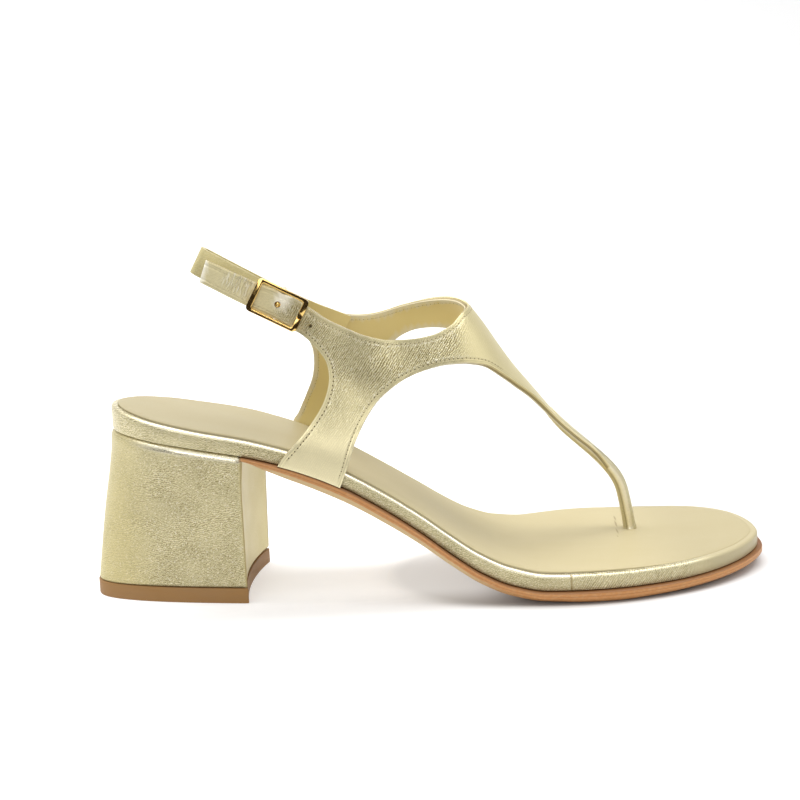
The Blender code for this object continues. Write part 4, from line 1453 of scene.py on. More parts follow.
@dataclass
class BlockHeel:
    """Covered block heel and its top lift."""

    sole: SoleUnit
    wardrobe: Wardrobe
    lift_height: float = 5.5
    back: float = -9.0
    base_half_width: float = 22.8
    base_power: float = 2.8
    inset: float = 0.3
    around: int = 121
    breast_points: int = 24
    lift_round: float = 0.35
    # Where marks of the finishes come or go, the glossy shoulder with its painted highlight among them: share
    # of the height, stations, distance from the breast
    bright_levels: Span = (0.94, 0.975)
    bright_start: Span = (6.0, 22.0)
    back_end: Span = (0.0, 20.0)
    breast_reach: Span = (0.4, 1.2)
    # Levels from the lift to the seat: share of the height, share of the seat's shape, inset at the seat
    levels: Rows = (
        (0.0, 0.0, 0.35), (0.012, 0.01, 0.06), (0.04, 0.035, 0.0), (0.25, 0.22, 0.0), (0.5, 0.46, 0.0),
        (0.75, 0.74, 0.0), (0.88, 0.91, -0.45), (0.94, 0.965, -0.75), (0.965, 0.982, -0.7),
        (0.985, 0.993, -0.35), (1.0, 1.0, 0.6),
    )

    def seat_run(self) -> list[Row]:
        """Seat edge from the medial breast corner round the back to the lateral one.

        Returns:
            Stations and sides along it.
        """
        edge = grow(self.sole.last.rim, -self.inset)
        half = len(edge) // 2
        behind = [point for point in edge[half:] + edge[:half] if point[0] < self.sole.breast(point[1])]
        first, last = behind[0][1], behind[-1][1]
        return [(self.sole.breast(first), first), *behind, (self.sole.breast(last), last)]

    def base_run(self) -> list[Row]:
        """Base edge from the medial breast corner round the back, drawn out to the rear.

        Returns:
            Stations and sides along it.
        """
        run = []
        for step in range(self.around):
            share = 1.0 - 2.0 * step / (self.around - 1)
            side = self.base_half_width * share
            corner = self.sole.breast(math.copysign(self.base_half_width, side))
            run.append((self.back + (corner - self.back) * abs(share) ** self.base_power, side))
        return run

    def closed(self, run: list[Row]) -> list[Row]:
        """Outline of a run closed along the breast.

        Args:
            run: open run round the back.

        Returns:
            Closed outline.
        """
        start, end = run[-1][1], run[0][1]
        sides = spaced(start, end, (end - start) / self.breast_points)[1:-1]
        return run + [(self.sole.breast(side), side) for side in sides]

    def build_block(self) -> Piece:
        """Heel block: bridged from the drawn-out base up to the seat's edge.

        Returns:
            The finished piece.
        """
        last = self.sole.last
        base = self.closed(evenly(self.base_run(), self.around))
        seat = self.closed(evenly(self.seat_run(), self.around))
        inner = grow(seat, -1.0)
        foot = self.lift_height + last.gap
        rings, glosses_and_highlights = [], []
        for height_share, seat_share, inset in smooth_run(self.levels, 4):
            ring = []
            for low, high, inside in zip(base, seat, inner):
                spot = Vector(low).lerp(Vector(high), seat_share) + (Vector(inside) - Vector(high)) * inset
                top = last.feather(high[0]) - last.gap
                ring.append((*spot, foot + (top - foot) * height_share))
                # Glossier top shoulder of the heel with a painted highlight.
                bright = soft_step(height_share, *self.bright_levels)
                glosses_and_highlights.append(bright * soft_step(high[0], *self.bright_start))
            rings.append(ring)
        item = Bench.tube("covered_heel", rings)
        rows = []
        for vertex, shine in zip(item.data.vertices, glosses_and_highlights):
            ahead = self.sole.breast(vertex.co.y) - vertex.co.x
            on_breast = 1.0 - soft_step(ahead, *self.breast_reach)
            back = 1.0 - soft_step(vertex.co.x, *self.back_end)
            rows.append({
                "grain": (1.0 - 0.85 * on_breast) * (1.0 - 0.45 * back),
                "plain": max(on_breast, 0.9 * back),
                "shine": shine,
                "seam": 1.0 if vertex.index % len(base) in (0, self.around - 1) else 0.0,
            })
        Bench.mark(item, rows)
        Bench.to_model(item)
        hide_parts("heel")
        Bench.dress(item, [self.wardrobe.gold], Slot.GOLD, 38.0)
        return item

    def build_lift(self) -> Piece:
        """Top lift with softened edges.

        Returns:
            The finished piece.
        """
        outline = grow(self.closed(evenly(self.base_run(), self.around)), self.sole.last.gap)
        item = Bench.blank("top_lift_plate", outline, self.lift_height)
        Bench.round_edges(item, sharp, self.lift_round, 2)
        for vertex in item.data.vertices:
            vertex.co.z += self.lift_height / 2
        Bench.to_model(item)
        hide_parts("top_lift")
        Bench.dress(item, [self.wardrobe.lift], Slot.LIFT, 40.0)
        return item

    def build(self) -> list[Piece]:
        """Both pieces of the heel."""
        return [self.build_block(), self.build_lift()]


@dataclass
class StrapUpper:
    """T-strap upper: leather, lining, toe post and stitching."""

    last: Last
    wardrobe: Wardrobe
    leather: float = 1.15
    lining: float = 0.75
    layer_gap: float = 0.06
    edge_round: float = 0.42
    # Cuts of the flat pattern along and across it: first, last, distance between
    bends: Rows = ((37.5, 180.0, 1.25),)
    lanes: Rows = ((-79.0, -46.0, 1.4), (-44.0, 44.0, 2.0), (46.0, 79.0, 1.4))
    edge_step: float = 0.4
    stitch_inset: float = 1.55
    stitch_rise: float = 0.02
    eye_depth: float = 0.35
    eye_scale: float = 2.3
    hole_radii: Span = (1.1, 0.65)
    # Top line from the tip of the strap to the instep: station, height
    lateral_top: Rows = (
        (37.6, 119.5), (48.0, 114.2), (57.0, 109.7), (62.0, 107.4), (67.0, 105.0), (71.0, 102.3),
        (76.7, 98.5), (82.9, 95.9), (89.7, 93.4), (96.4, 92.0), (101.1, 91.6), (107.3, 91.6),
        (112.8, 92.1), (117.0, 93.1), (121.4, 95.1),
    )
    # Top line over the ridge: station, girth
    ridge_top: Rows = (
        (124.4, -18.8), (126.6, -13.0), (128.0, -6.4), (128.3, 0.0), (127.7, 4.6), (126.4, 8.5),
        (124.4, 11.9), (121.7, 16.1),
    )
    # Top line down the medial side: station, height
    medial_top: Rows = (
        (118.9, 101.0), (114.6, 100.3), (108.8, 98.8), (103.0, 97.1), (98.5, 95.7), (94.1, 94.9),
        (89.7, 94.8), (85.3, 95.4), (81.1, 96.9), (78.3, 98.1), (74.2, 100.4),
    )
    # Edges of the legs from the sole upwards: station, height (a first height of zero is the sole)
    lateral_rear: Rows = (
        (59.6, 0.0), (61.7, 53.3), (65.3, 57.0), (69.9, 62.1), (74.6, 68.2), (77.2, 73.2), (78.4, 78.6),
        (77.7, 83.4), (75.6, 86.6), (72.6, 89.6), (69.0, 92.4), (62.0, 96.7), (48.0, 104.5), (34.8, 112.0),
    )
    lateral_front: Rows = (
        (80.6, 0.0), (83.0, 48.1), (86.6, 57.9), (91.6, 67.3), (96.9, 73.4), (105.6, 79.1), (116.4, 82.3),
        (126.9, 82.5),
    )
    medial_rear: Rows = (
        (61.6, 0.0), (63.4, 55.1), (65.5, 58.3), (68.6, 65.6), (70.9, 71.6), (71.9, 77.5), (71.9, 83.0),
        (71.0, 86.7), (69.4, 92.2),
    )
    medial_front: Rows = (
        (84.0, 0.0), (85.6, 49.0), (88.4, 60.0), (92.2, 70.0), (97.0, 79.4), (104.0, 86.0), (114.0, 89.6),
        (126.0, 88.6),
    )
    # Bar of the T: station, lateral half width, medial half width
    bar: Rows = (
        (134.0, 19.4, 14.4), (139.0, 17.2, 13.2), (144.0, 14.4, 11.6), (149.5, 11.0, 9.4), (155.0, 7.8, 7.2),
        (161.0, 5.7, 5.6), (168.0, 5.0, 5.0), (175.0, 4.5, 4.5), (180.5, 3.4, 3.4),
    )
    # Toe post: station, side, height, half width, half depth
    post: Rows = (
        (157.6, 7.0, 57.3, 5.6, 1.5), (161.4, 7.8, 52.9, 4.9, 1.8), (166.2, 8.8, 48.2, 4.4, 1.9),
        (169.1, 9.4, 45.5, 4.1, 1.95), (172.9, 10.1, 41.9, 3.6, 2.05), (176.6, 10.8, 38.2, 3.05, 2.15),
        (180.0, 11.5, 34.3, 2.6, 2.25), (182.4, 12.05, 30.8, 2.4, 2.3), (184.2, 12.5, 26.8, 2.32, 2.3),
        (185.7, 12.8, 20.6, 2.3, 2.3), (186.9, 13.0, 14.0, 2.3, 2.3), (187.2, 13.05, 12.2, 2.35, 2.35),
        (187.4, 13.08, 11.3, 2.45, 2.45), (187.5, 13.1, 10.4, 2.55, 2.55), (187.6, 13.1, 9.2, 2.4, 2.4),
    )
    post_facets: int = 32
    fold_step: int = 13
    strap_holes: Rows = ((61.4, 103.1), (72.4, 95.4))
    # Soft creases of the lateral side: station, height, run along, rise along, half length, half width, depth
    creases: Rows = (
        (90.0, 77.0, 1.0, 0.12, 9.0, 2.6, -0.2), (91.0, 81.5, 1.0, 0.1, 9.0, 2.2, 0.14),
        (104.0, 84.5, 1.0, 0.35, 10.0, 1.8, -0.1), (113.0, 87.0, 1.0, 0.45, 9.0, 1.6, -0.1),
        (97.0, 88.0, 1.0, -0.2, 9.0, 1.6, -0.1),
    )
    # End of the bar that sinks into the post: stations, depth
    sunk_bar: Span = (172.0, 181.0)
    sunk_depth: float = 1.3
    # Places along the strap from its first hole, and across it, where marks of the finishes come or go
    crinkle_start: Span = (-23.0, -18.0)
    crinkle_end: Span = (-12.0, -8.0)
    crinkle_rise: Span = (-3.6, -1.6)
    # Where the painted highlight beside the first hole comes or goes along and across the strap
    highlight_start: Span = (-2.5, -0.5)
    highlight_end: Span = (2.6, 4.2)
    highlight_rise: Span = (-2.5, 1.0)
    tab_end: Span = (-3.0, 5.0)
    # Stations and heights where they come or go
    coarse_start: Span = (86.0, 106.0)
    front_start: Span = (119.0, 130.0)
    cord_start: Span = (158.0, 176.0)
    cord_bright: Span = (160.0, 178.0)
    cord_lit: Span = (166.0, 182.0)
    sheen_end: Span = (50.0, 70.0)
    foot_end: Span = (54.0, 80.0)
    # Direction of the strap's cut tip and depth of the painted highlight along its edge
    tip_cut: Span = (0.937, 0.35)
    tip_reach: Span = (0.5, 1.1)
    plain_tab: float = 24.0
    buckled: float = 39.0
    rim_band: float = 1.3

    def at_heights(self, rows: Rows, side: Side) -> list[Row]:
        """Pattern points of a table of stations and heights."""
        return [self.last.at_height(station, side, height) for station, height in rows]

    def runs(self) -> dict[str, list[Row]]:
        """Edges of the flat pattern, in order round it.

        Returns:
            Smooth runs of stations and girths by name.
        """
        medial_bar = [self.last.at_offset(station, Side.MEDIAL, half) for station, _, half in self.bar]
        lateral_bar = [self.last.at_offset(station, Side.LATERAL, half) for station, half, _ in self.bar]
        collar = self.at_heights(self.lateral_top, Side.LATERAL) + list(self.ridge_top)
        rows = {
            "collar": collar + self.at_heights(self.medial_top, Side.MEDIAL),
            "medial_rear": self.at_heights(self.medial_rear, Side.MEDIAL)[::-1],
            "medial_front": self.at_heights(self.medial_front, Side.MEDIAL) + medial_bar,
            "lateral_front": (self.at_heights(self.lateral_front, Side.LATERAL) + lateral_bar)[::-1],
            "lateral_rear": self.at_heights(self.lateral_rear, Side.LATERAL),
        }
        return {name: smooth_run(run, 8) for name, run in rows.items()}

    def relief(self, station: float, girth: float, spot: Vector) -> float:
        """Height of creases over the smooth form.

        Args:
            station: place along the shoe.
            girth: place round the foot.
            spot: point of the smooth form.

        Returns:
            Height outwards in millimetres.
        """
        rise = 0.0
        creases = self.creases if girth < 0.0 else ()
        for middle, level, run, climb, half_length, half_width, depth in creases:
            size = math.hypot(run, climb)
            along = ((spot.x - middle) * run + (spot.z - level) * climb) / size
            across = ((spot.z - level) * run - (spot.x - middle) * climb) / size
            rise += depth * math.exp(-(along / half_length) ** 2 - (across / half_width) ** 2)
        return rise - self.sunk_depth * soft_step(station, *self.sunk_bar)

    def build_sheet(self) -> Piece:
        """Flat pattern, sliced and bent over the last.

        Returns:
            Single sheet on the outer face, in millimetres.
        """
        outline = [point for run in self.runs().values() for point in run]
        sheet = Bench.blank("upper_pattern", outline)
        Bench.slice(sheet, ALONG, all_spaced(self.bends))
        Bench.slice(sheet, ACROSS, all_spaced(self.lanes))
        for vertex in sheet.data.vertices:
            station, girth = vertex.co.x, vertex.co.y
            spot = self.last.point(station, girth)
            lift = self.relief(station, girth, spot)
            if abs(lift) > 0.01:
                spot += self.last.frame_at(station, girth)[2] * lift
            vertex.co = spot
        sheet.data.update()
        middle = Vector((105.0, 2.0, 70.0))
        lean = sum((face.center - middle).dot(face.normal) * face.area for face in sheet.data.polygons)
        if lean < 0.0:
            with Bench.editing(sheet):
                bpy.ops.mesh.flip_normals()
        return sheet

    def layer_of(self, sheet: Piece, name: str, depth: float, thickness: float,
                 rounding: float) -> Piece:
        """Layer of the upper under its outer face.

        Args:
            sheet: bent sheet.
            name: name of the layer.
            depth: distance of its outer side under the face.
            thickness: thickness of the layer.
            rounding: rounding of its edges.

        Returns:
            Closed layer in millimetres.
        """
        item = Bench.place(name, sheet.data.copy())
        moved = [vertex.co - vertex.normal * depth for vertex in item.data.vertices]
        for vertex, spot in zip(item.data.vertices, moved):
            vertex.co = spot
        item.data.update()
        Bench.modify(item, "SOLIDIFY", thickness=thickness, offset=-1.0)
        Bench.soften(item, rounding)
        return item

    def punch(self, item: Piece) -> None:
        """Punch the strap holes through a layer.

        Args:
            item: layer in millimetres.
        """
        for (station, height), radius in zip(self.strap_holes, self.hole_radii):
            spot = (station, self.last.loop[Side.LATERAL](station), height)
            bpy.ops.mesh.primitive_cylinder_add(vertices=24, radius=radius, depth=12.0, location=spot,
                                                rotation=(math.pi / 2, 0.0, 0.0))
            punch = bpy.context.view_layer.objects.active
            Bench.modify(item, "BOOLEAN", operation="DIFFERENCE", object=punch, solver="EXACT")
            bpy.data.objects.remove(punch)

    def mark_layer(self, item: Piece, sheet: Piece) -> None:
        """Store what the finishes read on a layer.

        Args:
            item: layer in millimetres.
            sheet: single sheet on the outer face.
        """
        points = []
        for run in self.runs().values():
            path = [tuple(self.last.point(*point)) for point in run]
            points += evenly(path, max(round(run_lengths(path)[-1] / self.edge_step), 2))
        tree = tree_of(points)
        face = BVHTree.FromPolygons([vertex.co for vertex in sheet.data.vertices],
                                    [polygon.vertices for polygon in sheet.data.polygons])
        joint = self.leather + self.layer_gap / 2
        rows = []
        for vertex in item.data.vertices:
            depth = face.find_nearest(vertex.co)[3]
            edge = math.sqrt(max(tree.find(vertex.co)[2] ** 2 - depth ** 2, 0.0))
            rows.append(self.marks_at(vertex.co, edge, abs(depth - joint)))
        Bench.mark(item, rows)

    def marks_at(self, spot: Vector, edge: float, off_joint: float) -> dict[str, float]:
        """Edge, joint, grain, wrinkles and crinkles at a point of a layer, with painted shade at the joint,
        painted sheen and painted highlights.

        Args:
            spot: the point in millimetres.
            edge: its distance from the cut edge along the surface.
            off_joint: its distance from the joint between the layers.

        Returns:
            Numbers by the name of their mark.
        """
        slope, middle, tip = self.last.strap_slope, self.last.strap_middle, self.lateral_top[0]
        away = spot - Vector((middle[0], spot.y, middle[1]))
        along = away.x * math.cos(slope) - away.z * math.sin(slope)
        across = away.x * math.sin(slope) + away.z * math.cos(slope)
        from_tip = (spot.x - tip[0]) * self.tip_cut[0] - (spot.z - tip[1]) * self.tip_cut[1]
        front = soft_step(spot.x, *self.front_start)
        foot = 1.0 - soft_step(spot.z, *self.foot_end)
        # Painted sheen low on the legs.
        sheen = 1.0 - soft_step(spot.z, *self.sheen_end)
        tab = 1.0 - soft_step(along, *self.tab_end)
        # Painted highlight where the strap bulges over the buckle's bar beside its first hole.
        painted_highlight = soft_step(along, *self.highlight_start) * (1.0 - soft_step(along, *self.highlight_end))
        painted_highlight *= soft_step(across, *self.highlight_rise)
        crinkle = soft_step(along, *self.crinkle_start) * soft_step(across, *self.crinkle_rise)
        band = self.rim_band + 0.7 * front
        rough = (1.0 - 0.9 * front) * (1.0 - 0.85 * foot) * (0.25 + 0.75 * soft_step(edge, 1.3, 2.3))
        rough *= 0.9 + 0.35 * soft_step(spot.x, *self.coarse_start)
        return {
            "edge": edge,
            "rim": 1.0 - soft_step(edge, band - 0.15, band + 0.15),
            # Painted shade in the gap between the leather and the lining.
            "seam": 1.0 - soft_step(off_joint, 0.08, 0.24),
            "grain": rough * (1.0 - 0.8 * tab),
            "wrinkle": rough * (1.0 - tab),
            "crinkle": crinkle * (1.0 - soft_step(along, *self.crinkle_end)),
            "plain": max(0.75 * front, 0.8 * tab),
            # Paler tone at the front and on the tab, painted sheen low on the legs.
            "pale": max(0.3 * front, 0.5 * tab, 0.85 * sheen),
            # Painted highlight along the strap's cut tip and beside its first hole.
            "tip": max(1.0 - soft_step(from_tip, *self.tip_reach), 0.8 * painted_highlight),
        }

    def seam_row(self, run: Sequence[Row], trim: Span, inside: bool = False) -> list[tuple[Vector, Vector]]:
        """Stitch row beside an edge of the pattern.

        Args:
            run: pattern points along the edge.
            trim: lengths left out at the start and the end.
            inside: whether the row lies on the lining.

        Returns:
            Points and normals on the surface.
        """
        lengths = run_lengths([tuple(self.last.point(*point)) for point in run])
        through = self.leather + self.layer_gap + self.lining + 2.0 * self.stitch_rise
        row = []
        for index, (station, girth) in enumerate(run):
            if not trim[0] <= lengths[index] <= lengths[-1] - trim[1]:
                continue
            before, after = run[max(index - 1, 0)], run[min(index + 1, len(run) - 1)]
            step = (after[0] - before[0], after[1] - before[1])
            along, around, normal = self.last.frame_at(station, girth)
            direction = along * step[0] + around * step[1]
            inward = normal.cross(direction).normalized()
            if inward.dot(along * step[1] - around * step[0]) < 0.0:
                inward.negate()
            inward *= self.stitch_inset
            a, b, c = along.dot(along), along.dot(around), around.dot(around)
            p, q = along.dot(inward), around.dot(inward)
            scale = a * c - b * b
            spot = (station + (c * p - b * q) / scale, girth + (a * q - b * p) / scale)
            place = self.last.point(*spot)
            normal = self.last.frame_at(*spot)[2]
            lift = self.relief(*spot, place) + self.stitch_rise
            if inside:
                row.append((place - normal * (through - lift), -normal))
            else:
                row.append((place + normal * lift, normal))
        return row

    def build_seams(self) -> Piece:
        """Stitching along the edges of the upper.

        Returns:
            The finished piece.
        """
        runs = self.runs()
        collar, rear = run_lengths(runs["collar"])[-1], run_lengths(runs["lateral_rear"])[-1]
        # Edge, lengths left out at its start and end, whether on the lining, size of the painted shade beads
        # in its needle holes
        seams = (
            ("collar", (2.5, collar - self.plain_tab), False, 0.0),
            ("collar", (self.buckled, 2.5), False, 0.36),
            ("collar", (66.0, 8.0), True, 0.3),
            ("medial_rear", (2.0, 3.0), False, 0.5),
            ("medial_rear", (4.0, 8.0), True, 0.3),
            ("medial_front", (3.0, 62.0), False, 0.42),
            ("lateral_front", (62.0, 2.6), False, 0.46),
            ("lateral_rear", (2.6, self.buckled), False, 0.58),
            ("lateral_rear", (rear - self.plain_tab, 2.5), False, 0.0),
        )
        rows = [(self.seam_row(runs[name], trim, inside), size) for name, trim, inside, size in seams]
        # Dark beads of painted shade set inside the punched strap hole.
        eyes = []
        for (station, height), radius in zip(self.strap_holes[1:], self.hole_radii[1:]):
            pattern = self.last.at_height(station, Side.LATERAL, height)
            normal = self.last.frame_at(*pattern)[2]
            spot = self.last.point(*pattern) - normal * self.eye_depth
            eyes.append((spot, normal, radius * self.eye_scale))
        item = Seam().sew("upper_stitching", [row for row in rows if len(row[0]) > 2], eyes)
        Bench.to_model(item)
        Bench.dress(item, [self.wardrobe.thread, self.wardrobe.hole_shade], Slot.GOLD, 60.0)
        return item

    def post_marks(self, vertex: bpy.types.MeshVertex) -> dict[str, float]:
        """What the finish reads on the toe post, with the dark line of its fold, a painted highlight on the
        ply beside it and painted shade on the far one.

        Args:
            vertex: vertex of the post in millimetres.

        Returns:
            Numbers by the name of their mark.
        """
        step, station, sole = vertex.index % self.post_facets, vertex.co.x, self.post[-1][2]
        cord = soft_step(station, *self.cord_start)
        share = soft_step(station, *self.cord_lit)
        # Painted highlight on the lit ply beside the fold.
        lit = 1.0 - soft_step(abs(step - self.fold_step - 3.2), 1.0, 2.8)
        # Painted shade on the far ply, through the hollows of the wrinkle mark.
        shaded = soft_step(step, self.fold_step + 5.0, self.fold_step + 7.5)
        # Painted glint at the foot of the post.
        foot = 1.0 - soft_step(vertex.co.z, sole + 1.2, sole + 3.4)
        return {
            "grain": 0.4 * cord,
            "shine": 0.2 * soft_step(station, *self.cord_bright),
            "seam": 0.75 if step == self.fold_step else 0.0,
            "plain": 0.7 * (1.0 - cord),
            # Painted highlight and glint on the lit ply and at the foot, painted shade on the far ply.
            "pale": 0.3 * (1.0 - share) + 0.95 * lit * share,
            "tip": lit * max(0.5 * share, foot),
            "wrinkle": 0.45 * shaded * share,
        }

    def build_post(self) -> Piece:
        """Toe post: the bar's end folded round into a cord.

        Returns:
            The finished piece.
        """
        rows = smooth_run(self.post, 6)
        rings = []
        for index, (station, side, height, half_width, half_depth) in enumerate(rows):
            before, after = rows[max(index - 1, 0)], rows[min(index + 1, len(rows) - 1)]
            along = (Vector(after[:3]) - Vector(before[:3])).normalized()
            across = (ACROSS - along * along.y).normalized()
            front = across.cross(along)
            flat = 1.0 - 0.45 * soft_step(half_width / half_depth, 1.2, 2.5)
            ring = []
            for step in range(self.post_facets):
                angle = 2.0 * math.pi * step / self.post_facets
                wide = math.copysign(abs(math.cos(angle)) ** flat, math.cos(angle)) * half_width
                deep = math.copysign(abs(math.sin(angle)) ** flat, math.sin(angle)) * half_depth
                ring.append(Vector((station, side, height)) + across * wide + front * deep)
            rings.append(ring)
        item = Bench.tube("toe_post", rings)
        Bench.mark(item, [self.post_marks(vertex) for vertex in item.data.vertices])
        Bench.to_model(item)
        Bench.dress(item, [self.wardrobe.gold], Slot.GOLD, 60.0)
        return item

    def build(self) -> list[Piece]:
        """Every piece of the upper.

        Returns:
            Leather, lining, toe post and stitching.
        """
        sheet = self.build_sheet()
        leather = self.layer_of(sheet, "upper_leather", 0.0, self.leather, self.edge_round)
        depth = self.leather + self.layer_gap
        lining = self.layer_of(sheet, "upper_lining", depth, self.lining, self.edge_round * 0.5)
        for layer in (leather, lining):
            self.punch(layer)
            self.mark_layer(layer, sheet)
            Bench.to_model(layer)
        bpy.data.objects.remove(sheet)
        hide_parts("upper")
        Bench.dress(leather, [self.wardrobe.gold], Slot.GOLD, 40.0)
        Bench.dress(lining, [self.wardrobe.lining], Slot.GOLD, 40.0)
        return [leather, lining, self.build_post(), self.build_seams()]


@dataclass
class Slingback:
    """Slingback strap behind the heel."""

    wardrobe: Wardrobe
    edge_round: float = 0.45
    grain: float = 0.3
    plain: float = 0.9

    def build(self) -> list[Piece]:
        """The strap with soft edges, lined on the side of the heel.

        Returns:
            The finished piece.
        """
        item = Bench.from_node("heel_strap", "slingback_strap")
        Bench.soften(item, self.edge_round * MM)
        Bench.mark(item, [{"grain": self.grain, "plain": self.plain}] * len(item.data.vertices))
        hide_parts("heel_strap")
        Bench.dress(item, [self.wardrobe.gold, self.wardrobe.lining], Slot.GOLD, 45.0)
        middle = -ORIGIN.y * MM
        for face in item.data.polygons:
            inner = face.normal.y * (face.center.y - middle) < 0.0 and abs(face.normal.y) > 0.4
            face.material_index = 1 if inner else 0
        return [item]


@dataclass
class Buckle:
    """Buckle frame and prong."""

    wardrobe: Wardrobe
    slope: float = math.radians(28.5)
    bar: float = 1.5
    window_bevel: float = 0.3
    frame_round: float = 0.13
    prong_round: float = 0.1

    def build_frame(self) -> Piece:
        """Frame with a wide bevel round its window and softened outer edges.

        Returns:
            The finished piece.
        """
        item = Bench.from_node("buckle_frame", "frame_of_buckle")
        spots = [vertex.co for vertex in item.data.vertices]
        along = Vector((math.cos(self.slope), 0.0, -math.sin(self.slope)))
        across = Vector((math.sin(self.slope), 0.0, math.cos(self.slope)))
        reach = [[spot.dot(axis) for spot in spots] for axis in (along, across)]
        middle = [(min(values) + max(values)) / 2 for values in reach]
        half = [(max(values) - min(values)) / 2 - self.bar * 0.7 * MM for values in reach]

        def inside(vertex: Any) -> bool:
            """Whether a vertex lies on the window's edge."""
            return (abs(vertex.co.dot(along) - middle[0]) < half[0]
                    and abs(vertex.co.dot(across) - middle[1]) < half[1])

        def window(edge: Any) -> bool:
            """Whether an edge runs round the front of the window."""
            front = any(face.normal.y < -0.7 for face in edge.link_faces)
            return front and edge.calc_face_angle(0.0) > 0.7 and all(inside(vertex) for vertex in edge.verts)

        Bench.round_edges(item, window, self.window_bevel * MM, 3)
        Bench.soften(item, self.frame_round * MM)
        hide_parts("buckle_frame")
        Bench.dress(item, [self.wardrobe.metal], Slot.METAL, 40.0)
        return item

    def build_prong(self) -> Piece:
        """Prong with softened edges.

        Returns:
            The finished piece.
        """
        item = Bench.from_node("buckle_prong", "prong_of_buckle")
        Bench.soften(item, self.prong_round * MM, 2)
        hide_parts("buckle_prong")
        Bench.dress(item, [self.wardrobe.metal], Slot.METAL, 40.0)
        return item

    def build(self) -> list[Piece]:
        """Both pieces of the buckle."""
        return [self.build_frame(), self.build_prong()]


@dataclass(frozen=True)
class Lamp:
    """Soft rectangular light: its width and depth and its places in metres, its power in watts."""

    name: str
    size: Span
    power: float
    spot: Row
    target: Row = (0.0, 0.0, 0.05)

    def build(self) -> None:
        """Make the light and aim it."""
        data = bpy.data.lights.new(self.name, "AREA")
        data.shape = "RECTANGLE"
        data.size, data.size_y = self.size
        data.energy = self.power
        light = Bench.place(self.name, data)
        light.location = self.spot
        aim = Vector(self.target) - Vector(self.spot)
        light.rotation_euler = aim.to_track_quat("-Z", "Y").to_euler()


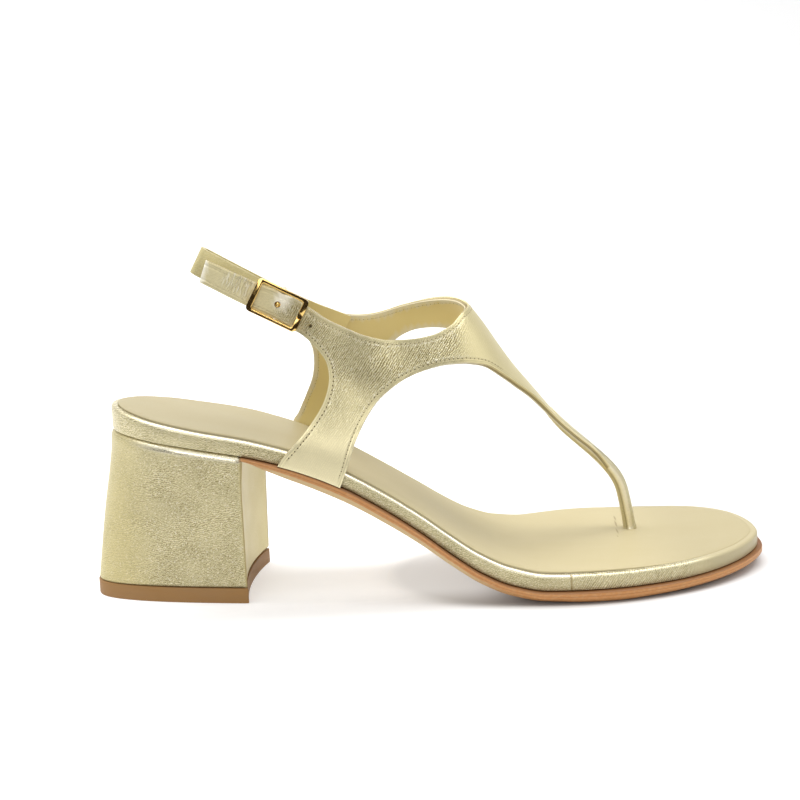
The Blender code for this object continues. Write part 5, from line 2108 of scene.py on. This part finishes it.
@dataclass
class Studio:
    """Pale floor, soft light and the camera."""

    camera_spot: Row = (94.05, -500.0, 172.89)
    pitch: float = math.radians(12.08)
    yaw: float = math.radians(-1.0)
    roll: float = math.radians(-2.24)
    focal_pixels: float = 1427.87
    sensor: float = 36.0
    # Floor in metres: it sweeps up behind the shoe
    floor_width: float = 12.0
    floor_front: float = -0.28
    floor_back: float = 1.6
    sweep_radius: float = 1.2
    sweep_steps: int = 12
    backdrop_height: float = 3.0
    # Surroundings: brightness, and the dark part towards the camera and not far above the floor
    sky: float = 1.1
    white: Colour = (1.0, 1.0, 1.0)
    dark: Colour = (0.03, 0.024, 0.02)
    dark_toward: Span = (0.1, 0.55)
    dark_below: Span = (0.12, 0.4)
    lamps: tuple[Lamp, ...] = (
        Lamp("overhead_softbox", (1.7, 0.55), 13.0, (0.0, 0.1, 0.95)),
        Lamp("front_panel", (0.6, 0.4), 2.0, (-0.25, -1.0, 0.34)),
        Lamp("backdrop_light", (2.4, 0.5), 30.0, (0.0, 0.9, 1.5), (0.0, 2.7, 0.6)),
    )

    def build_camera(self) -> None:
        """Camera at the photograph's angle."""
        ahead = math.cos(self.pitch)
        forward = Vector((-math.sin(self.yaw) * ahead, math.cos(self.yaw) * ahead, -math.sin(self.pitch)))
        level = Vector((math.cos(self.yaw), math.sin(self.yaw), 0.0))
        top = level.cross(forward)
        right = level * math.cos(self.roll) + top * math.sin(self.roll)
        up = top * math.cos(self.roll) - level * math.sin(self.roll)
        data = bpy.data.cameras.new("studio_camera")
        data.sensor_width = self.sensor
        data.sensor_fit = "HORIZONTAL"
        data.lens = self.focal_pixels * self.sensor / IMAGE_SIZE
        data.clip_start = 0.01
        camera = Bench.place("studio_camera", data)
        turn = Matrix((right, up, -forward)).transposed().to_4x4()
        camera.matrix_world = Matrix.Translation((Vector(self.camera_spot) - ORIGIN) * MM) @ turn
        bpy.context.scene.camera = camera

    def build_floor(self) -> None:
        """Wide pale floor that sweeps up behind the shoe."""
        bpy.ops.mesh.primitive_plane_add(size=1.0)
        floor = bpy.context.view_layer.objects.active
        floor.name = "studio_floor"
        for vertex in floor.data.vertices:
            vertex.co.x *= self.floor_width
            vertex.co.y = self.floor_back if vertex.co.y > 0.0 else self.floor_front
        with Bench.editing(floor):
            Bench.select_edges(floor, lambda edge: all(vertex.co.y > 0.0 for vertex in edge.verts))
            angles = [math.pi / 2 * step / self.sweep_steps for step in range(self.sweep_steps + 1)]
            for low, high in zip(angles, angles[1:]):
                move = (math.sin(high) - math.sin(low), math.cos(low) - math.cos(high))
                value = (0.0, self.sweep_radius * move[0], self.sweep_radius * move[1])
                bpy.ops.mesh.extrude_region_move(TRANSFORM_OT_translate={"value": value})
            value = (0.0, 0.0, self.backdrop_height)
            bpy.ops.mesh.extrude_region_move(TRANSFORM_OT_translate={"value": value})
        bpy.ops.object.shade_smooth()
        floor.data.materials.append(FLOOR.build())

    def build_light(self) -> None:
        """Bright surroundings that are dark on the camera's side, and the lamps."""
        world = bpy.data.worlds.new("studio")
        world.use_nodes = True
        bpy.context.scene.world = world
        graph = Graph(world.node_tree)
        direction = graph.node("ShaderNodeTexCoord").outputs["Generated"]
        toward = graph.axis(direction, 1) * -1.0
        below = 1.0 - graph.axis(direction, 2).rise(*self.dark_below)
        colour = graph.mix(toward.rise(*self.dark_toward) * below, self.white, self.dark)
        background = world.node_tree.nodes["Background"]
        world.node_tree.links.new(colour, background.inputs["Color"])
        background.inputs["Strength"].default_value = self.sky
        for lamp in self.lamps:
            lamp.build()

    def build(self) -> None:
        """Camera, floor and light."""
        self.build_camera()
        self.build_floor()
        self.build_light()
        bpy.context.scene.view_settings.view_transform = "Standard"


def main() -> None:
    """Build every sub-assembly in order and report its pieces."""
    logging.basicConfig(level=logging.INFO, format="%(message)s")
    wardrobe = Wardrobe()
    last = Last()
    sole = SoleUnit(last, wardrobe)
    assemblies = (sole, BlockHeel(sole, wardrobe), StrapUpper(last, wardrobe), Slingback(wardrobe),
                  Buckle(wardrobe))
    for assembly in assemblies:
        names = [piece.name for piece in assembly.build()]
        LOG.info("%s: %s", type(assembly).__name__, ", ".join(names))
    Studio().build()


if __name__ == "__main__":
    main()
